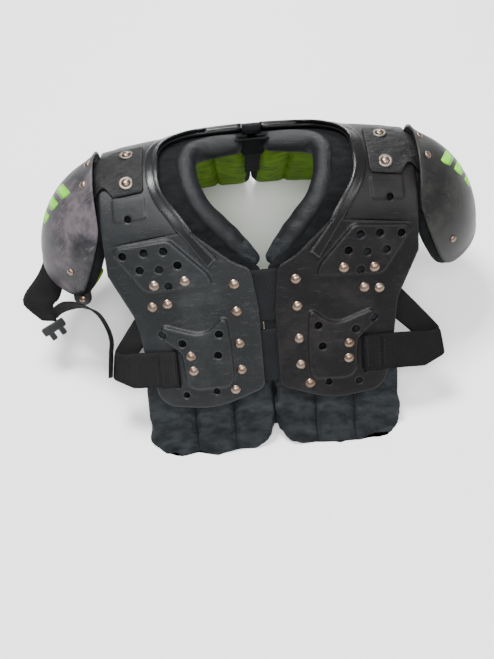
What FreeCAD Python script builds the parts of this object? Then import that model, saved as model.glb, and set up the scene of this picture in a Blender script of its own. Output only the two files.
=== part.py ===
"""Youth shoulder pads for contact sports: two riveted halves that stand on the floor like a tent.

Frame: X across the shoulders, -Y the chest side, +Y the back, Z up. The origin lies on the floor,
on the midline, under the ridge where the shells go over the shoulders. Left and right are as seen
by someone who faces the chest. Lengths are millimetres and angles are degrees.

A place on the shells is given as (x, s, d): x across, s the length along the outer face from the
ridge (negative towards the chest, positive towards the back), d outward from the outer face.
"""
import FreeCAD, Part
import math
import os
from FreeCAD import Matrix, Vector

# ---- overall sizes ----
RIDGE_HEIGHT = 232.0      # outer face of the shells on the midline
ARCH_RADIUS = 78.0        # outer face over the shoulder, seen from the side
LEG_TILT = 35.0           # chest and back panels, away from upright
CROWN_RADIUS = 678.0      # the shoulders fall away from the neck on this radius
HALF_WIDTH = 152.0        # midline to the arm edge of a shell

# ---- shells ----
SHELL_WALL = 3.0
CENTRE_GAP = 16.0         # between the two shells, on the chest and on the back
PANEL_REACH = 262.0       # ridge to the lowest edge of a chest or back panel, along the shell
NECK_WIDTH = 186.0        # between the neck edges over the shoulders
NECK_FRONT = 112.0        # ridge to the neck edge on the chest, along the shell
NECK_BACK = 54.0          # ridge to the neck edge on the back, along the shell
BOSS_RISE = 3.5           # pressed panels stand this far proud
BOSS_BEVEL = 3.0
VENT_RADIUS = 4.0
ACCESSORY_HOLE_RADIUS = 3.5

# ---- neck strip ----
STRIP_WIDTH = 12.0
STRIP_THICKNESS = 2.4
STRIP_PLAY = 0.15         # strip to the shell it lies on
BEAD_WIDTH = 3.6
BEAD_RISE = 2.0

# ---- rivets ----
RIVET_HEAD_RADIUS = 5.0
RIVET_HEAD_RISE = 2.4
RIVET_SHANK_RADIUS = 1.9
RIVET_HOLE_PLAY = 0.1
RIVET_TAIL_RADIUS = 3.6
RIVET_TAIL_THICKNESS = 0.8
RIVET_TAIL_PLAY = 0.15
CAP_RIVET_RADIUS = 3.6
WASHER_RADIUS = 7.0
WASHER_THICKNESS = 1.0

# ---- elastic bands and belts ----
BAND_THICKNESS = 1.5
BAND_PLAY = 0.3           # band to the shells it lies behind
BELT_WIDTH = 38.0
BELT_THICKNESS = 1.8
BELT_PLAY = 0.3           # belt to the shell it lies on
WEBBING_INSET = 0.3       # a turn of the belt is this much narrower than the runs it joins

STRAP_WIDTH = 34.0        # webbing of the under-arm straps
ARM_STRAP_WIDTH = 25.0
LEFT_BELT_REACH = -12.0   # how much further out each front belt folds
RIGHT_BELT_REACH = 5.0

# ---- padding ----
PAD_FACE = 6.4            # depth of the pads' outer face behind the shells' outer face
PAD_THICKNESS = 15.0
PAD_HALF_WIDTH = 133.0
PAD_SWELL = 7.0           # below the shells the pads stand this much further out
PAD_GAP = 4.0             # between the left and right pads
SHOULDER_PAD_FACE = 4.3
SHOULDER_PAD_THICKNESS = 13.0
ROLL_WIDTH = 23.0
ROLL_INSET = 14.0         # neck edge of the shell to the outer side of the neck roll
ROLL_TOP = 3.0            # depth of the roll's top behind the shells' outer face
ROLL_THICKNESS = 22.0

# ---- hinge flaps and caps ----
FLAP_INNER_X = 108.0
FLAP_HALF_LENGTH = 30.0
FLAP_THICKNESS = 2.0
FLAP_PLAY = 0.15
HINGE_X = 154.0
CAP_WALL = 2.6
CAP_CENTRE_X = 149.0
CAP_CENTRE_Z = 119.0
CAP_REACH = 79.0          # centre to the outermost point
CAP_HALF_LENGTH = 73.0    # front to back, at the open side
CAP_RISE = 105.0
CAP_DROOP = 18.0          # the dome leans out at its bottom
CAP_BOTTOM_Z = 103.0
CAP_PAD_THICKNESS = 9.0
TONGUE_THICKNESS = 2.0
SOFT_GAP = 0.3

# ---- worked out ----
ARCH_CENTRE_Z = RIDGE_HEIGHT - ARCH_RADIUS
AXIS_Z = RIDGE_HEIGHT - CROWN_RADIUS
TILT = math.radians(LEG_TILT)
TANGENT = math.pi / 2 - TILT
TANGENT_S = ARCH_RADIUS * TANGENT
MID_PLANE = CENTRE_GAP / 2
Y_AXIS = Vector(0, 1, 0)
BIG = 600.0

os.makedirs("parts", exist_ok=True)


# ---- the curved face that everything follows ----

def profile(s, d=0.0):
    """Side view: (y, z) of the face at the midline."""
    side = -1.0 if s < 0 else 1.0
    angle = min(abs(s), TANGENT_S) / ARCH_RADIUS
    radius = ARCH_RADIUS + d
    leg = max(0.0, abs(s) - TANGENT_S)
    y = radius * math.sin(angle) + leg * math.sin(TILT)
    z = ARCH_CENTRE_Z + radius * math.cos(angle) - leg * math.cos(TILT)
    return side * y, z


def place(x, s, d=0.0):
    """Point on the face, or d outside it, at distance x from the midline plane."""
    y, z = profile(s, d)
    radius = z - AXIS_Z
    return Vector(x, y, AXIS_Z + math.sqrt(radius * radius - x * x))


def outward(x, s):
    """Unit normal of the face."""
    y0, z0 = profile(s, 0.0)
    y1, z1 = profile(s, 1.0)
    lean = math.asin(x / (z0 - AXIS_Z))
    return Vector((z1 - z0) * math.sin(lean), y1 - y0, (z1 - z0) * math.cos(lean)).normalize()


class Patch:
    """Flat local frame that touches the face at (x, s)."""

    def __init__(self, x, s):
        self.origin = place(x, s)
        self.normal = outward(x, s)
        down = place(x, s + math.copysign(1.0, s)) - self.origin
        self.across = down.cross(self.normal).normalize()
        if self.across.x < 0:
            self.across = self.across * -1.0
        self.down = self.normal.cross(self.across).normalize()

    def project(self, point, depth):
        """The point moved along the normal to this depth over the patch."""
        offset = (point - self.origin).dot(self.normal)
        return point - self.normal * (offset - depth)


# ---- outlines ----

def rounded_wire(corners):
    """Closed wire of straight runs, with an arc at each corner that has a radius: (point, radius)."""
    count = len(corners)
    legs = []
    for i, (here, radius) in enumerate(corners):
        before = corners[i - 1][0]
        after = corners[(i + 1) % count][0]
        to_before = (before - here)
        to_after = (after - here)
        half = to_before.getAngle(to_after) / 2
        reach = radius / math.tan(half) if radius > 0 else 0.0
        reach = min(reach, 0.48 * to_before.Length, 0.48 * to_after.Length)
        start = here + to_before.normalize() * reach
        end = here + to_after.normalize() * reach
        if reach > 0:
            bisector = ((start + end) * 0.5 - here).normalize()
            true_radius = reach * math.tan(half)
            middle = here + bisector * (true_radius / math.sin(half) - true_radius)
        else:
            middle = None
        legs.append((start, middle, end))
    edges = []
    for i, (start, middle, end) in enumerate(legs):
        if middle is not None:
            edges.append(Part.Arc(start, middle, end).toShape())
        following = legs[(i + 1) % count][0]
        if (following - end).Length > 1e-6:
            edges.append(Part.LineSegment(end, following).toShape())
    return Part.Wire(edges)


def patch_prism(outline, centre, low=-60.0, high=60.0):
    """Straight block through the face, square to it at the centre. outline: (x, s, radius)."""
    patch = Patch(*centre)
    corners = [(patch.project(place(x, s), low), radius) for x, s, radius in outline]
    return Part.Face(rounded_wire(corners)).extrude(patch.normal * (high - low))


def raised_prism(outline, centre, low, high, bevel):
    """As patch_prism, but its sides lean in by the bevel towards the top."""
    patch = Patch(*centre)
    base = rounded_wire([(patch.project(place(x, s), low), r) for x, s, r in outline])
    face = Part.Face(base)
    top = face.makeOffset2D(-bevel).OuterWire
    top.translate(patch.normal * (high - low))
    return Part.makeLoft([base, top], True, True)


def plan_prism(outline):
    """Upright block. outline: (x, s, radius), taken straight down from the face."""
    corners = []
    for x, s, radius in outline:
        point = place(x, s)
        corners.append((Vector(point.x, point.y, -50.0), radius))
    return Part.Face(rounded_wire(corners)).extrude(Vector(0, 0, BIG))


# ---- layers ----

def layer(d_low, d_high, s_from, s_to, half_angle=26.0):
    """Slice of the +X half between two offsets of the face and two places along it."""
    breaks = [s_from]
    breaks += [s for s in (-TANGENT_S, TANGENT_S) if s_from + 1e-6 < s < s_to - 1e-6]
    breaks.append(s_to)

    def chain(d, stations):
        edges = []
        for a, b in zip(stations, stations[1:]):
            start = Vector(0, *profile(a, d))
            end = Vector(0, *profile(b, d))
            if abs(a + b) / 2 < TANGENT_S:
                middle = Vector(0, *profile((a + b) / 2, d))
                edges.append(Part.Arc(start, middle, end).toShape())
            else:
                edges.append(Part.LineSegment(start, end).toShape())
        return edges

    outer = chain(d_high, breaks)
    inner = chain(d_low, breaks[::-1])
    last = Part.LineSegment(Vector(0, *profile(s_to, d_high)), Vector(0, *profile(s_to, d_low)))
    first = Part.LineSegment(Vector(0, *profile(s_from, d_low)), Vector(0, *profile(s_from, d_high)))
    wire = Part.Wire(outer + [last.toShape()] + inner + [first.toShape()])
    return Part.Face(wire).revolve(Vector(0, 0, AXIS_Z), Y_AXIS, half_angle)


def mirrored(shape):
    """The same piece on the other side of the midline."""
    return shape.mirror(Vector(0, 0, 0), Vector(1, 0, 0))


def turned_to_back(shape):
    """The same piece on the back."""
    return shape.mirror(Vector(0, 0, 0), Vector(0, 1, 0))


def joined(shapes):
    """One solid from pieces that share faces."""
    whole = shapes[0].fuse(list(shapes[1:])).removeSplitter()
    return whole.Solids[0] if len(whole.Solids) == 1 else whole


def drill(x, s, radius, low=-12.0, high=12.0):
    """Straight hole tool, square to the face."""
    patch = Patch(x, s)
    return Part.makeCylinder(radius, high - low, patch.origin + patch.normal * low, patch.normal)


# ---- where things are on the +X half ----

NECK_HALF = NECK_WIDTH / 2
ARM_EDGE = HALF_WIDTH
CHEST_CENTRE = (80.0, -165.0)
BACK_CENTRE = (80.0, 165.0)

# Neck edge, from the chest to the back: where it passes from the chest panel onto the arch.
NECK_TURN_X = 68.0

UPPER_BOSS = [(149, -76, 7), (88, -78, 12), (54, -117, 6), (48, -131, 6), (116, -128, 10)]
LOWER_BOSS = [(107, -161, 5), (64, -180, 22), (40, -160, 5), (37, -200, 12), (37, -240, 12),
              (86, -238, 14), (89, -196, 8), (106, -178, 6)]
BOSS_CENTRE_UPPER = (92.0, -103.0)
BOSS_CENTRE_LOWER = (70.0, -200.0)
RECESS = [(107, -34, 3), (139, -30, 3), (139, -54, 3), (107, -56, 3)]
RECESS_CENTRE = (124.0, -45.0)
RECESS_RISE = 1.2

UPPER_VENTS = [(94, -89), (113, -87), (134, -86), (82, -105), (100, -106), (119, -103), (93, -124)]
LOWER_VENTS = [(49, -181), (86, -185), (105, -173), (52, -203)]
FLAP_HOLE = (125.0, -53.0)
ACCESSORY_HOLES = [(57.0, -243.0), (88.0, -242.0)]
BELT_SLOT = (95.0, -212.0)
SLOT_WIDTH = 5.0

INNER_RIVETS = [(30, -133), (30, -161), (30, -195), (30, -223)]
LOW_RIVET = (38.0, -244.0)
BOSS_RIVETS = [(77, -122), (107, -121)]
PAIR_RIVETS = [(97, -143), (112, -143)]
BELT_RIVETS = [(79, -200), (78, -216)]
FLAP_WASHERS = [(124.0, -18.5), (124.0, 18.5)]
STRAP_RIVETS = [(84, 205), (84, 220)]

# ---- on a cap: (y, angle up from its widest line) ----
CAP_TOP_RIVETS = [(14.0, 58.0), (-10.0, 54.0)]
CAP_LOW_RIVET = (-58.0, 6.0)

# ---- under-arm straps on the -X side, from the back shell: (centre, direction across) ----
STRAP_REACH_LEFT = [((-150, 136, 75), (0.05, 0.5, -0.86)), ((-180, 112, 74), (0.1, 0.3, -0.94)),
                    ((-203, 76, 74), (0.2, 0.1, -0.97)), ((-219, 34, 77), (0.4, -0.3, -0.86)),
                    ((-229.6, -18, 77.7), (0.57, -0.58, -0.58)),
                    ((-237.4, -42, 84), (0.77, -0.02, -0.64)),
                    ((-239.5, -49.5, 82.6), (0.8, 0.2, -0.56)),
                    ((-236.5, -54, 76), (0.7, 0.2, -0.5)), ((-231, -60, 66), (0.45, 0, -0.1))]
STRAP_REACH_RIGHT = [((-141, 134, 73), (0.0, 0.5, -0.86)), ((-152, 114, 71), (0.0, 0.3, -0.95)),
                     ((-156, 84, 70), (0.0, 0.1, -0.99)), ((-153, 40, 70), (0.0, 0.0, -1.0))]
ARM_STRAP = [((-163.9, -138.6, 66.7), (0, 0.565, -0.825)), ((-159.6, -124.2, 89.6), (0, 0.565, -0.825)),
             ((-158.6, -112, 94), (0, 0.565, -0.825)), ((-163, -97, 98), (0, 0.565, -0.825)),
             ((-173, -80, 100), (0, 0.565, -0.825)), ((-190.5, -68, 99), (0, 0.4, -0.917)),
             ((-207, -62, 92), (0, 0.25, -0.968)), ((-218, -58, 81), (0, 0.25, -0.968)),
             ((-224.5, -56, 71.5), (0, 0.25, -0.968))]


def neck_plan(inset, back_inset=None):
    """Neck side of a plan outline on the arch, moved outward from the neck edge by the inset."""
    back_inset = inset if back_inset is None else back_inset
    side = NECK_HALF + inset
    return [(NECK_TURN_X + inset, -TANGENT_S, 0), (side, -36, 42 + inset), (side, 26, 42 + inset),
            (58 + inset, NECK_BACK + back_inset, 30)]


# ---- shells ----

def chest_panel_outline():
    low = -PANEL_REACH
    return [(NECK_TURN_X, -TANGENT_S, 0), (30, -NECK_FRONT + 2, 40), (13, -NECK_FRONT - 7, 10),
            (MID_PLANE, -160, 60), (MID_PLANE, low + 17, 10), (58, low, 90), (114, low + 13, 22),
            (125, low + 70, 60), (130, -152, 40), (ARM_EDGE, -102, 5), (ARM_EDGE, -TANGENT_S, 0)]


def back_panel_outline():
    low = PANEL_REACH
    return [(MID_PLANE, TANGENT_S, 0), (MID_PLANE, low - 17, 10), (58, low, 90),
            (114, low - 13, 22), (125, low - 70, 60), (130, 152, 40), (ARM_EDGE, 102, 5),
            (ARM_EDGE, TANGENT_S, 0)]


def arch_outline():
    return (neck_plan(0.0) + [(MID_PLANE, NECK_BACK, 8), (MID_PLANE, TANGENT_S, 0),
                              (ARM_EDGE, TANGENT_S, 0), (ARM_EDGE, -TANGENT_S, 0)])


def sheet_region(d_low, d_high):
    """The shell's sheet between two offsets, without its pressed panels and holes."""
    chest = layer(d_low, d_high, -PANEL_REACH - 8, -TANGENT_S)
    chest = chest.common(patch_prism(chest_panel_outline(), CHEST_CENTRE))
    arch = layer(d_low, d_high, -TANGENT_S, TANGENT_S).common(plan_prism(arch_outline()))
    back = layer(d_low, d_high, TANGENT_S, PANEL_REACH + 8)
    back = back.common(patch_prism(back_panel_outline(), BACK_CENTRE))
    return joined([chest, arch, back])


def boss(outline, centre, rise, bevel):
    """Pressed panel: (solid to add, pocket to take away behind it)."""
    span = [s for _, s, _ in outline]
    slab = layer(-SHELL_WALL / 2, rise, min(span) - 12, max(span) + 12)
    solid = slab.common(raised_prism(outline, centre, -1.0, rise + 2.0, bevel))
    hollow = layer(-SHELL_WALL - 1, rise - SHELL_WALL, min(span) - 12, max(span) + 12)
    inner = raised_prism(outline, centre, -SHELL_WALL - 1.0, rise, bevel + SHELL_WALL)
    return solid, hollow.common(inner)


def shank_holes(places, low=-12.0, high=12.0):
    radius = RIVET_SHANK_RADIUS + RIVET_HOLE_PLAY
    return [drill(x, s, radius, low, high) for x, s in places]


def make_shell():
    body = sheet_region(-SHELL_WALL, 0.0)
    upper, upper_pocket = boss(UPPER_BOSS, BOSS_CENTRE_UPPER, BOSS_RISE, BOSS_BEVEL)
    lower, lower_pocket = boss(LOWER_BOSS, BOSS_CENTRE_LOWER, BOSS_RISE, BOSS_BEVEL)
    raised, _ = boss(RECESS, RECESS_CENTRE, RECESS_RISE, 1.0)
    for solid in (upper, lower, raised, turned_to_back(upper)):
        body = body.fuse(solid)
    cuts = [upper_pocket, lower_pocket, turned_to_back(upper_pocket)]
    back_vents = [(x, -s) for x, s in UPPER_VENTS]
    cuts += [drill(x, s, VENT_RADIUS) for x, s in UPPER_VENTS + LOWER_VENTS + back_vents]
    cuts += [drill(x, s, ACCESSORY_HOLE_RADIUS) for x, s in ACCESSORY_HOLES + [FLAP_HOLE]]
    rivets = INNER_RIVETS + [LOW_RIVET] + BOSS_RIVETS + PAIR_RIVETS + BELT_RIVETS + FLAP_WASHERS
    cuts += shank_holes(rivets)
    cuts += shank_holes([(x, -s) for x, s in INNER_RIVETS + PAIR_RIVETS] + STRAP_RIVETS)
    cuts.append(belt_slot(*BELT_SLOT))
    return body.cut(cuts).removeSplitter()


def belt_slot(x, s):
    """Slot tool for a belt, a little wider than the webbing."""
    half_x = SLOT_WIDTH / 2
    half_s = BELT_WIDTH / 2 + 2
    outline = [(x - half_x, s - half_s, 2.4), (x + half_x, s - half_s, 2.4),
               (x + half_x, s + half_s, 2.4), (x - half_x, s + half_s, 2.4)]
    return patch_prism(outline, (x, s), -12.0, 12.0)


# ---- neck strip with its bead ----

def ring_plan(inner, outer):
    """Plan outline between two insets of the neck edge, over the arch and a little past it."""
    lead = 12.0
    first = neck_plan(inner)
    second = neck_plan(outer)
    for side in (first, second):
        x = side[0][0] - lead * math.sin(TILT) * 0.86
        side[0] = (x, -TANGENT_S - lead, 0)
    return first + [(46, NECK_BACK + inner, 0), (46, NECK_BACK + outer, 0)] + second[::-1]


def strip_front(inner, outer):
    end = -NECK_FRONT + 8
    top = -TANGENT_S + 4
    return [(71 + inner, top, 0), (44 + inner, end + inner * 0.3, 0),
            (42 + outer, end - (outer - inner) * 0.75, 0), (68 + outer, top, 0)]


def make_neck_strip():
    pieces = []
    top = STRIP_PLAY + STRIP_THICKNESS
    bands = ((0.3, STRIP_WIDTH, STRIP_PLAY, top), (0.3, BEAD_WIDTH, top, top + BEAD_RISE))
    for inner, outer, low, high in bands:
        arch = layer(low, high, -TANGENT_S, TANGENT_S).common(plan_prism(ring_plan(inner, outer)))
        front = layer(low, high, -NECK_FRONT - 10, -TANGENT_S + 6)
        front = front.common(patch_prism(strip_front(inner, outer), (60.0, -90.0)))
        pieces += [arch, front]
    return joined(pieces)


# ---- rivets ----

def rivet_at(top, normal, depth, head):
    """Domed head on the seat at top, shank through the pile, tail disc behind it."""
    rise = RIVET_HEAD_RISE * head / RIVET_HEAD_RADIUS
    sphere_radius = (head * head + rise * rise) / (2 * rise)
    ball = Part.makeSphere(sphere_radius, top - normal * (sphere_radius - rise))
    keep = Part.makeCylinder(head + 1, rise + 1, top, normal)
    solid = ball.common(keep)
    reach = depth + RIVET_TAIL_PLAY
    shank = Part.makeCylinder(RIVET_SHANK_RADIUS, reach + RIVET_TAIL_THICKNESS / 2,
                              top, normal * -1.0)
    tail = Part.makeCylinder(RIVET_TAIL_RADIUS, RIVET_TAIL_THICKNESS,
                             top - normal * reach, normal * -1.0)
    return joined([solid, shank, tail])


def rivet(x, s, seat=0.0, depth=SHELL_WALL, head=RIVET_HEAD_RADIUS):
    patch = Patch(x, s)
    return rivet_at(patch.origin + patch.normal * seat, patch.normal, depth, head)


def washer(x, s, seat):
    patch = Patch(x, s)
    hole = RIVET_SHANK_RADIUS + RIVET_HOLE_PLAY
    low = patch.origin + patch.normal * seat
    disc = Part.makeCylinder(WASHER_RADIUS, WASHER_THICKNESS, low, patch.normal)
    return disc.cut(Part.makeCylinder(hole, WASHER_THICKNESS * 2, low, patch.normal))


# ---- elastic bands across the centre ----

def centre_band(s_near, s_far):
    """Flat band behind both shells, held by the inner rivets. It crosses the midline."""
    face = -SHELL_WALL - BAND_PLAY
    slab = layer(face - BAND_THICKNESS, face, s_far - 6, s_near + 6)
    outline = [(0, s_near, 0), (42, s_near, 3), (42, s_far, 3), (0, s_far, 0)]
    half = slab.common(patch_prism(outline, (10.0, (s_near + s_far) / 2)))
    holes = shank_holes([r for r in INNER_RIVETS if s_far < r[1] < s_near])
    half = half.cut(holes)
    return joined([half, mirrored(half)])


# ---- belts ----

def front_belt(reach):
    """Webbing: tab behind the shell, out through the slot, to the fold and back behind the panel."""
    slot_x, slot_s = BELT_SLOT
    half = BELT_WIDTH / 2
    behind = -SHELL_WALL - BELT_PLAY
    back_low = behind - BELT_THICKNESS
    front_high = BELT_PLAY + BELT_THICKNESS
    edge = slot_x + BELT_THICKNESS
    tab = [(68, slot_s + half, 4), (edge, slot_s + half, 0), (edge, slot_s - half, 0),
           (68, slot_s - half, 4)]
    inset = WEBBING_INSET
    riser = [(slot_x - 1.2 + inset, slot_s + half - inset, 0), (edge - inset, slot_s + half - inset, 0),
             (edge - inset, slot_s - half + inset, 0), (slot_x - 1.2 + inset, slot_s - half + inset, 0)]
    outer = [(slot_x - 1.2, slot_s + half, 0), (158 + reach, -184, 0), (168 + reach, -180, 4),
             (173 + reach, -207, 5), (152 + reach, -222, 8), (slot_x - 1.2, slot_s - half, 0)]
    inner = [(90, -137, 3), (116, -130, 3), (134 + reach / 2, -146, 20), (168 + reach, -180, 4),
             (173 + reach, -207, 5), (164 + reach, -209, 3), (118 + reach / 2, -169, 20),
             (92, -154, 3)]
    fold = [(163.5 + reach, -182 - inset, 0), (167.5 + reach, -180 - 3 * inset, 2),
            (172.5 + reach, -206, 2), (168 + reach, -207, 0)]

    def cut_from(low, high, outline):
        slab = layer(low, high, -250.0, -110.0)
        return slab.common(patch_prism(outline, (120.0, -190.0)))

    rear = cut_from(back_low, behind, tab).cut(shank_holes(BELT_RIVETS))
    rise = cut_from(back_low + inset, front_high - inset, riser)
    face = cut_from(BELT_PLAY, front_high, outer)
    leg = cut_from(back_low, behind, inner).cut(shank_holes(PAIR_RIVETS))
    turn = cut_from(back_low + inset, front_high - inset, fold)
    return joined([rear, rise, face, turn, leg])


def ribbon(stations, width, thickness=BELT_THICKNESS):
    """Webbing through a row of (centre, direction across). A shorter direction draws it in."""
    wires = []
    for i, (centre, across) in enumerate(stations):
        before = stations[max(i - 1, 0)][0]
        after = stations[min(i + 1, len(stations) - 1)][0]
        side = Vector(*across) * (width / 2)
        proud = (after - before).cross(side).normalize() * (thickness / 2)
        corners = [centre + side + proud, centre - side + proud, centre - side - proud,
                   centre + side - proud]
        wires.append(Part.makePolygon(corners + corners[:1]))
    return Part.makeLoft(wires, True, True)


def back_strap(reach):
    """Under-arm strap of the -X side: flat on the back shell, then out and round under the arm."""
    seat = BELT_PLAY + BELT_THICKNESS / 2
    down = (0, math.sin(TILT), -math.cos(TILT))
    s = (STRAP_RIVETS[0][1] + STRAP_RIVETS[1][1]) / 2
    on_shell = [(mirrored_point(place(x, s, seat)), down) for x in (72, 84, 98, 112, 124)]
    stations = on_shell + [(Vector(*centre), across) for centre, across in reach]
    strap = ribbon(stations, STRAP_WIDTH)
    return strap.cut([mirrored(hole) for hole in shank_holes(STRAP_RIVETS)])


def mirrored_point(point):
    return Vector(-point.x, point.y, point.z)


def arm_strap():
    return ribbon([(Vector(*centre), across) for centre, across in ARM_STRAP], ARM_STRAP_WIDTH)


def strap_hook(centre, along, across):
    """Moulded hook at the end of a strap: a bar with two prongs."""
    along = Vector(*along).normalize()
    across = Vector(*across)
    across = (across - along * across.dot(along)).normalize()
    depth = along.cross(across)

    def block(a, b, low, high, thick):
        corners = [(centre + across * x + along * y - depth * (thick / 2), 1.5)
                   for x, y in ((a, low), (b, low), (b, high), (a, high))]
        return Part.Face(rounded_wire(corners)).extrude(depth * thick)

    bar = block(-13, 13, 0, 9, 4.0)
    prongs = [block(-9, -3, 6, 17, 3.0), block(3, 9, 6, 17, 3.0)]
    return joined([bar] + prongs)


# ---- pads ----

def panel_pad(top_corners):
    """Foam pad behind a chest panel, swelling out below the shell and cut flat where it stands."""
    reach = -345.0
    edge = PAD_GAP / 2
    wide = PAD_HALF_WIDTH
    outline = top_corners + [(edge, -302, 24), (60, reach, 0), (wide - 20, -320, 20), (wide, -292, 26),
                             (wide, -226, 12), (119, -206, 20), (123, -155, 60),
                             (136, -114, 40), (141, -TANGENT_S + 4, 0)]
    block = patch_prism(outline, CHEST_CENTRE)
    low = -PAD_FACE - PAD_THICKNESS
    pad = layer(low, -PAD_FACE, reach - 3, -TANGENT_S - SOFT_GAP).common(block)
    swell = layer(-PAD_FACE, PAD_SWELL - PAD_FACE, reach - 3, -PANEL_REACH - 5).common(block)
    pad = joined([pad, swell])
    return pad.common(Part.makeBox(BIG, 2 * BIG, BIG, Vector(0, -BIG, 0)))


def front_pad():
    """Its neck edge starts where the neck roll ends."""
    return panel_pad([(NECK_TURN_X - ROLL_INSET + 5, -TANGENT_S + 4, 0), (27, -107, 30),
                      (13, -121, 6), (PAD_GAP / 2, -124, 4)])


def back_pad():
    return turned_to_back(panel_pad([(PAD_GAP / 2, -TANGENT_S + 4, 0)]))


def shoulder_pad():
    slab = layer(-SHOULDER_PAD_FACE - SHOULDER_PAD_THICKNESS, -SHOULDER_PAD_FACE,
                 -TANGENT_S, TANGENT_S)
    inner = neck_plan(-ROLL_INSET + SOFT_GAP, -4.0)
    outline = inner + [(PAD_GAP / 2, NECK_BACK - 4.0, 0), (PAD_GAP / 2, TANGENT_S, 0),
                       (146, TANGENT_S, 0), (146, -TANGENT_S, 0)]
    return slab.common(plan_prism(outline))


def neck_roll():
    low = -ROLL_TOP - ROLL_THICKNESS
    outer = neck_plan(-ROLL_INSET, -4.0 - SOFT_GAP)
    inner = neck_plan(-ROLL_INSET - ROLL_WIDTH, -4.0 - ROLL_WIDTH)
    end_outer = NECK_BACK - 4.0 - SOFT_GAP
    arch_ring = outer + [(6, end_outer, 8), (6, end_outer - ROLL_WIDTH, 8)] + inner[::-1]
    arch = layer(low, -ROLL_TOP, -TANGENT_S, TANGENT_S).common(plan_prism(arch_ring))
    start = NECK_TURN_X - ROLL_INSET
    front_ring = [(start, -TANGENT_S, 0), (26, -106, 30), (12, -120, 6), (5, -113, 6), (14, -98, 30),
                  (start - ROLL_WIDTH, -TANGENT_S, 0)]
    front = layer(low, -ROLL_TOP, -135.0, -TANGENT_S).common(patch_prism(front_ring, CHEST_CENTRE))
    return joined([arch, front])


# ---- hinge flaps ----

def inner_flap():
    slab = layer(FLAP_PLAY, FLAP_PLAY + FLAP_THICKNESS, -40.0, 40.0)
    half = FLAP_HALF_LENGTH
    outline = [(FLAP_INNER_X, -half, 3), (138, -half, 5), (142, -half + 5, 4),
               (HINGE_X - SOFT_GAP / 2, -half + 6, 0), (HINGE_X - SOFT_GAP / 2, half - 6, 0),
               (142, half - 5, 4), (138, half, 5), (FLAP_INNER_X, half, 3)]
    flap = slab.common(plan_prism(outline))
    return flap.cut(shank_holes(FLAP_WASHERS))


# ---- caps: a leaning dome over the top of each arm ----

def dome(shrink):
    """Solid half dome, its faces moved in by this much, open side towards the body."""
    ball = Part.makeSphere(1.0)
    scale = Matrix()
    scale.scale(CAP_REACH - shrink, CAP_HALF_LENGTH - shrink, CAP_RISE - shrink)
    egg = ball.transformGeometry(scale)
    egg.rotate(Vector(0, 0, 0), Y_AXIS, -CAP_DROOP)
    egg.translate(Vector(CAP_CENTRE_X, 0, CAP_CENTRE_Z))
    return egg


def cap_side(near, below):
    """Front-view outline of a cap as a block through it: near edge, and how far a lining shows."""
    outline = [(near, 250, 0), (near, 188, 25), (171 - below, 152 - below, 60),
               (189 - below, CAP_BOTTOM_Z - below, 12), (260, CAP_BOTTOM_Z - below, 0), (260, 250, 0)]
    corners = [(Vector(x, -BIG / 2, z), radius) for x, z, radius in outline]
    return Part.Face(rounded_wire(corners)).extrude(Vector(0, BIG, 0))


def dome_frame(y, angle):
    """Point and outward normal on a cap's outer face: y along it, angle up from its widest line."""
    shrink = math.sqrt(1 - (y / CAP_HALF_LENGTH) ** 2)
    local = Vector(CAP_REACH * math.cos(math.radians(angle)) * shrink, y,
                   CAP_RISE * math.sin(math.radians(angle)) * shrink)
    slope = Vector(local.x / CAP_REACH ** 2, local.y / CAP_HALF_LENGTH ** 2,
                   local.z / CAP_RISE ** 2).normalize()
    turn = FreeCAD.Rotation(Y_AXIS, -CAP_DROOP)
    return turn.multVec(local) + Vector(CAP_CENTRE_X, 0, CAP_CENTRE_Z), turn.multVec(slope)


def dome_hole(y, angle, radius, low, high):
    point, normal = dome_frame(y, angle)
    return Part.makeCylinder(radius, high - low, point + normal * low, normal)


CAP_PAD_FACE = CAP_WALL + FLAP_THICKNESS + 2 * SOFT_GAP
TONGUE_FACE = CAP_PAD_FACE + CAP_PAD_THICKNESS + SOFT_GAP


def make_cap():
    radius = RIVET_SHANK_RADIUS + RIVET_HOLE_PLAY
    holes = [dome_hole(y, angle, radius, -8, 8) for y, angle in CAP_TOP_RIVETS + [CAP_LOW_RIVET]]
    return dome(0.0).cut(dome(CAP_WALL)).common(cap_side(HINGE_X + 2.0, 0.0)).cut(holes)


def make_cap_pad():
    """The lining of a cap, dented where the tails of the top rivets press into it."""
    hollow = dome(CAP_PAD_FACE).cut(dome(CAP_PAD_FACE + CAP_PAD_THICKNESS))
    radius = RIVET_TAIL_RADIUS + SOFT_GAP
    dents = [dome_hole(y, angle, radius, -7.0, 2.0) for y, angle in CAP_TOP_RIVETS]
    return hollow.common(cap_side(HINGE_X + 4.0, 3.0)).cut(dents)


def make_cap_tongue():
    """Curved plastic tab that hangs out of a cap's lining, with a hole for its stud."""
    outline = [(-66, 84, 10), (-38, 84, 10), (-38, 122, 4), (-66, 122, 4)]
    corners = [(Vector(160, y, z), radius) for y, z, radius in outline]
    block = Part.Face(rounded_wire(corners)).extrude(Vector(80, 0, 0))
    plate = dome(TONGUE_FACE).cut(dome(TONGUE_FACE + TONGUE_THICKNESS)).common(block)
    point, normal = tongue_stud_frame()
    radius = RIVET_SHANK_RADIUS + RIVET_HOLE_PLAY
    return plate.cut(Part.makeCylinder(radius, 12.0, point - normal * 6.0, normal))


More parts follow.
